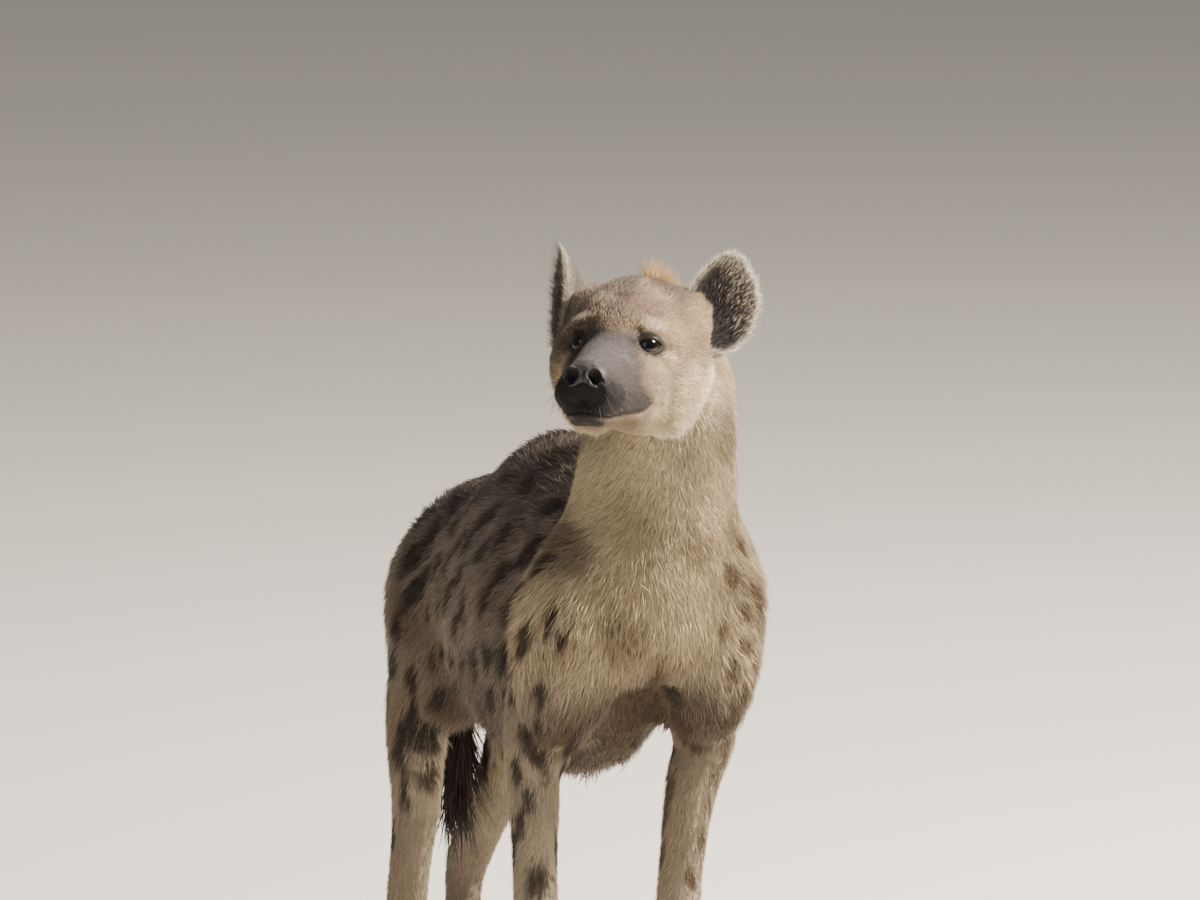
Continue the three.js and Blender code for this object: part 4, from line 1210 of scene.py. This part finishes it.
# %% [markdown]
# The skin and its coat become objects. The tufts of each region are split by place into pieces of
# fewer than 200,000 triangles.

# %% The skin and its coat
FLESH_NODES = ["torso", "neck", "tail", "head", *EARS, *LEGS, *PAWS]
skin_mesh.materials.clear()
add_piece("skin", skin_mesh, skin_finish, FLESH_NODES)

PIECE_TRIANGLES = 190000
WHISKER_LENGTH, WHISKER_RISE = 0.030, 17.0
LAYERS = [
    # name, parts, slot, tufts, width, bent, clump, longer
    ("trunk_coat", ("torso",), "body_coat", 17000, 0.0012, True, 0.35, 1.0),
    ("trunk_down", ("torso",), "body_coat", 88000, 0.0012, False, 0.35, 0.85),
    ("neck_coat", ("neck",), "neck_coat", 7000, 0.0010, True, 0.30, 1.0),
    ("neck_down", ("neck",), "neck_coat", 46000, 0.0010, False, 0.3, 0.85),
    ("leg_down", ("foreleg", "hindleg"), "leg_coat", 58000, 0.0013, False, 0.3, 1.0),
    ("tail_coat", ("tail",), "tail_coat", 4000, 0.0020, True, 0.3, 1.0),
    ("face_coat", ("head",), "face_coat", 72000, 0.0008, False, 0.0, 1.0),
    ("ear_coat", ("ear",), "ear_coat", 22000, 0.0007, False, 0.0, 1.0),
    ("paw_coat", ("forepaw", "hindpaw"), "paw_coat", 20000, 0.0012, False, 0.0, 1.0),
    ("whiskers", ("head",), "face_coat", 70, 0.0005, True, 0.0, 1.0),
]
# No hair grows in the eyes or on the lips. It is closest on the muzzle, and whiskers have a pad
local = to_head(surface.points)
x, y, z = np.abs(local[:, 0]), local[:, 1], local[:, 2]
furred = open_face * (1 - bell(mouth_distance, 0.0022))
favour = {"face_coat": 1 + 1.6 * ramp(-y, -0.02, 0.06),
          "whiskers": ((x > 0.014) & (y < -0.058) & (np.abs(z + 0.064) < 0.014)).astype(float)}
total = 0
for number, (name, members, slot, count, width, bent, clump, longer) in enumerate(LAYERS):
    weight = is_part(parts, *members) * furred * favour.get(name, 1.0)
    tufts = place_tufts(count, weight, 100 + number)
    if name == "whiskers":
        tufts["length"], tufts["rise"] = np.full(count, WHISKER_LENGTH), np.full(count, WHISKER_RISE)
    shape = tuft_points(tufts, width, bent, clump, longer)
    # a piece is a stretch from front to back, and legs and ears are parted left from right as well
    paired = "leg" in name or "ear" in name
    order = np.argsort(tufts["place"][:, 1] + 9 * (tufts["place"][:, 0] > 0.01) * paired)
    pieces = math.ceil(count * len(shape[1]) / PIECE_TRIANGLES)
    nodes = [part for part in FLESH_NODES if part.startswith(members)]
    for k, chosen in enumerate(np.array_split(order, pieces)):
        piece = coat_piece(f"{name}_{k + 1}", tufts, shape, chosen, hair, nodes)
        total += len(piece.data.polygons)
print("coat:", total, "triangles")

# %% [markdown]
# A glass eye in a museum model is a ball with its iris painted on the back. Here the ball is one
# smooth shape that swells a little at the cornea, and a value on each point tells how far it is
# from the middle of the gaze. The lids are a soft ring round the slit, thicker above the eye.

# %% Eyes and lids
CORNEA_SWELL = 0.0008
LID_SEGMENTS = 96
# each ring of a lid: share of the way from the slit to the lid's outer edge, and height on the ball
LID_RINGS = [(0.0, -0.0016), (0.0, 0.0004), (0.03, 0.0013), (0.10, 0.0019), (0.22, 0.0020),
             (0.42, 0.0017), (0.70, 0.0009), (1.0, -0.0012)]


def object_from(name, points, faces, material, nodes):
    """A piece from points and faces that follow a formula."""
    mesh = bpy.data.meshes.new(name)
    mesh.from_pydata([tuple(point) for point in points], [], faces)
    return add_piece(name, mesh, material, nodes)


for side, word in ((1, "left"), (-1, "right")):
    axes, centre = eye_frame[side], eye_middle[side]
    mirrored = np.linalg.det(axes) < 0
    ball = bmesh.new()
    bmesh.ops.create_uvsphere(ball, u_segments=64, v_segments=48, radius=EYE_RADIUS)
    points = np.array([vertex.co[:] for vertex in ball.verts])
    faces = [[vertex.index for vertex in face.verts] for face in ball.faces]
    ball.free()
    away = np.arccos((points[:, 2] / EYE_RADIUS).clip(-1, 1))
    points *= (1 + CORNEA_SWELL / EYE_RADIUS * (1 - ramp(away, 0.2, 0.75)))[:, None]
    faces = [face[::-1] if mirrored else face for face in faces]
    points = centre + points @ axes
    eye = object_from(f"eye_ball_{word}", points, faces, eye_finish, [f"eye_{word}"])
    layer = eye.data.attributes.new("Gaze", "FLOAT", "POINT")
    layer.data.foreach_set("value", (away / 1.2).clip(0, 1).astype(np.float32))

    turn = np.arange(LID_SEGMENTS) / LID_SEGMENTS * 2 * math.pi
    a = (SLIT_OUTER - SLIT_INNER) / 2 + np.cos(turn) * (SLIT_OUTER + SLIT_INNER) / 2
    top, low = slit(a)
    b = np.where(np.sin(turn) >= 0, top, low)
    radial = np.hypot(a, b)
    start = np.arcsin((radial / (EYE_RADIUS + 0.0004)).clip(0, 0.975))
    flat = np.stack([a, b], 1) / radial[:, None].clip(1e-6)
    rings, tones = [], []
    for share, thick in LID_RINGS:
        theta = start + (LID_REACH - start).clip(0.1) * share
        heavy = 1 + 0.5 * np.sin(turn).clip(0, 1) * (thick > 0)
        ring_line = np.column_stack([np.sin(theta)[:, None] * flat, np.cos(theta)])
        rings.append(ring_line * (EYE_RADIUS + thick * heavy)[:, None])
        tones.append(np.full(LID_SEGMENTS, share))
    points = centre + np.concatenate(rings) @ axes
    faces = []
    for k in range(len(rings)):
        for j in range(LID_SEGMENTS):
            i, n, m = (k + 1) % len(rings), (j + 1) % LID_SEGMENTS, LID_SEGMENTS
            face = (k * m + j, i * m + j, i * m + n, k * m + n)
            faces.append(face[::-1] if mirrored else face)
    lids = object_from(f"lids_{word}", points, faces, lid_finish, ["head"])
    share = np.concatenate(tones)
    paint(lids.data, mix(plain("lids", len(points)), "face", ramp(share, 0.40, 0.85) * 0.5))
    print("eye", word, "at", [round(float(v), 3) for v in centre])

# %% [markdown]
# The nose is a pad of bare leather. It could be one lump with holes cut in it, but a real nose is
# soft: two rounded wings flare round comma-shaped nostrils that run out into a slit at the side,
# and a groove parts them. The wings are fused from ovals and then pressed into shape.

# %% The nose
NOSE_VOXEL = 0.0009
# x (both sides, or 0 for the middle), y, z, and half sizes, in millimetres of the head's frame
NOSE_LUMPS = [(12.5, -104.5, -49.5, 13, 15, 16), (0, -104, -46, 19, 15.5, 15)]
# x (both sides), y, z, radius, and how far the stroke moves the leather in x, y and z
NOSE_STROKES = [
    (12.4, -121, -47.0, 8.6, 0.8, 11.0, 0.9), (15.4, -120, -52.0, 8.2, 0.8, 9.0, 0.4),
    (20.5, -116, -55.5, 6.6, -2.4, 8.2, 1.0), (25.0, -109, -59.0, 5.0, -4.2, 4.0, 0.6),
]
# middle of the rim of a nostril and of the painted shade in its opening, in metres of the head's frame
NOSTRIL_RIM, NOSTRIL_SHADE = np.array([0.014, -0.119, -0.0495]), np.array([0.015, -0.110, -0.049])
RIM_RADIUS, RIM_WIDTH, RIM_HEIGHT = 0.0104, 0.0026, 0.0012
PARTING_WIDTH, PARTING_DEPTH = 0.0013, 0.0010
UNDERCUT = 0.0034
nose_bm = bmesh.new()
for x, y, z, *half in NOSE_LUMPS:
    for side in sides(x):
        size = Matrix.Diagonal((half[0] / 1000, half[1] / 1000, half[2] / 1000, 1))
        place = Matrix.Translation(from_head(side * x, y, z)) @ head_turn.to_4x4()
        bmesh.ops.create_icosphere(nose_bm, subdivisions=4, radius=1, matrix=place @ size)
nose_mesh = remeshed(nose_bm, NOSE_VOXEL, "nose_pad")
nose_surface = Surface(nose_mesh)
nose_surface.soften(np.ones((len(nose_surface.points), 1)), 34)
local = to_head(nose_surface.points)
parting = bell(local[:, 0], PARTING_WIDTH) * ramp(-local[:, 1], 0.100, 0.112)
local[:, 1] += parting * ramp(-0.046 - local[:, 2], -0.01, 0.012) * PARTING_DEPTH
for x, y, z, radius, *push in NOSE_STROKES:
    for side in (1, -1):
        centre = np.array([side * x, y, z]) / 1000
        share = ramp(1 - away_from(local, centre) / (radius / 1000), 0, 0.55)
        local += share[:, None] * np.array([side * push[0], push[1], push[2]]) / 1000
for side in (1, -1):
    rim_distance = np.linalg.norm((local - NOSTRIL_RIM * (side, 1, 1)) / (1, 1.6, 1), axis=1)
    local[:, 1] -= RIM_HEIGHT * bell(rim_distance - RIM_RADIUS, RIM_WIDTH)
local[:, 1] += UNDERCUT * ramp(-0.056 - local[:, 2], 0, 0.009)
from_nostril_shade = np.min([np.linalg.norm((local - NOSTRIL_SHADE * (side, 1, 1)) / (1, 1.2, 1), axis=1)
                      for side in (1, -1)], axis=0)
nose_surface.points = to_model(local)
nose_surface.soften(np.ones((len(local), 1)), 2)
nose_surface.write()
# painted shade: the nostrils, which are not cut as holes, are painted black inside, and the leather
# darkens towards its lower edge
lower = 0.35 + 0.65 * ramp(local[:, 2], -0.064, -0.050)
paint(nose_mesh, plain("leather", len(local)) * (ramp(from_nostril_shade, 0.0068, 0.0115) * lower)[:, None])
add_piece("nose_pad", nose_mesh, leather, ["nose"])
print("nose:", len(nose_mesh.polygons), "faces")

# %% [markdown]
# A hyena's claws are short, thick and blunt, because they touch the ground at every step. Each is
# a cone drawn out along a bent line, with its root inside the toe.

# %% The claws
CLAW_LENGTH, CLAW_RADIUS, CLAW_DROOP = 0.019, 0.0052, 0.70
CLAW_RINGS, CLAW_SIDES = 7, 12
CLAW_HEIGHT, CLAW_BACK = 0.0160, 6
# how far the claws of the inner and the outer toes turn out, in degrees
CLAW_TURNS = (-3, -12)


def claw_rings(root, heading, size):
    """Points of a claw, ring by ring from its root to its tip."""
    forward = np.array([math.sin(heading) * -1, -math.cos(heading), 0])
    for k in range(CLAW_RINGS):
        t = k / (CLAW_RINGS - 1)
        dip = CLAW_DROOP * t
        reach_out = CLAW_LENGTH * size * t
        centre = root + reach_out * forward * math.cos(dip * 0.6)
        centre = centre + np.array([0, 0, -math.sin(dip * 0.8) * reach_out * 0.7])
        radius = CLAW_RADIUS * size * (1 - t) ** 0.6 * (0.9 if k else 1)
        for j in range(CLAW_SIDES):
            angle = j / CLAW_SIDES * 2 * math.pi
            section = np.array([0.8 * math.cos(angle), 0.25 * math.sin(angle), math.sin(angle)])
            yield centre + radius * section


for name in PAWS:
    low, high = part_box(name)
    size = (high.x - low.x) / PAW_WIDTH
    middle = (low.x + high.x) / 2
    points, faces = [], []
    for side in (1, -1):
        for (aside, back), turn in zip(TOES, CLAW_TURNS):
            start = len(points)
            root = np.array([middle + side * aside * size / 1000,
                             low.y + (back + CLAW_BACK) * size / 1000, CLAW_HEIGHT * size])
            points += claw_rings(root, math.radians(side * turn), size)
            for first in range(start, len(points) - CLAW_SIDES, CLAW_SIDES):
                for j in range(CLAW_SIDES):
                    i, n = first + j, first + (j + 1) % CLAW_SIDES
                    faces.append((i, n, n + CLAW_SIDES, i + CLAW_SIDES))
            faces.append(tuple(range(start, start + CLAW_SIDES))[::-1])
            faces.append(tuple(range(len(points) - CLAW_SIDES, len(points))))
    claws = object_from(f"claws_{name}", points, faces, horn, [name])
    bm = opened(claws.data)
    bmesh.ops.recalc_face_normals(bm, faces=bm.faces)
    stored(bm, claws.data)
print("claws:", len(TOES) * 2, "on each paw")

# %% [markdown]
# The floor is one plain pale disc. A soft lamp stands for the low sun at the picture's right, a
# large weak one fills the shade, and a third lights the edge of the coat from behind.

# %% Floor and light
FLOOR_RADIUS = 40.0
CHEST_HEIGHT = 0.6
floor_bm = bmesh.new()
bmesh.ops.create_circle(floor_bm, cap_ends=True, segments=128, radius=FLOOR_RADIUS)
floor_mesh = stored(floor_bm, bpy.data.meshes.new("floor"))
# Matt paper: an even pale grey without shine
paper, *_ = new_material("studio paper", {"Base Color": (*linear("#D6D2CB"), 1), "Roughness": 0.9})
floor_mesh.materials.append(paper)
floor = bpy.data.objects.new("floor", floor_mesh)
scene.collection.objects.link(floor)


def softbox(name, azimuth, elevation, distance, size, power, code):
    """A square lamp that shines on the chest, at an angle counted from the camera's."""
    data = bpy.data.lights.new(name, "AREA")
    data.size = size
    data.energy = power
    data.color = linear(code)
    lamp = bpy.data.objects.new(name, data)
    turn, lift = CAMERA_AZIMUTH + math.radians(azimuth), math.radians(elevation)
    towards = Vector((math.sin(turn) * math.cos(lift), -math.cos(turn) * math.cos(lift), math.sin(lift)))
    lamp.location = Vector((0, 0, CHEST_HEIGHT)) + towards * distance
    lamp.rotation_euler = towards.to_track_quat("Z", "Y").to_euler()
    lamp.visible_camera = False
    scene.collection.objects.link(lamp)


# azimuth and elevation in degrees, distance and size in metres, power in watts
softbox("key", 82, 40, 5.0, 1.1, 1450, "#FFF4E4")
softbox("fill", -25, 25, 5.0, 3.0, 45, "#E4ECFF")
softbox("rim", 165, 50, 4.5, 1.6, 120, "#FFF6EA")
world = bpy.data.worlds.new("studio")
world.use_nodes = True
background = world.node_tree.nodes["Background"]
background.inputs["Color"].default_value = (*linear("#E3E2DF"), 1)
background.inputs["Strength"].default_value = 0.30
scene.world = world
print("lamps:", len(bpy.data.lights))
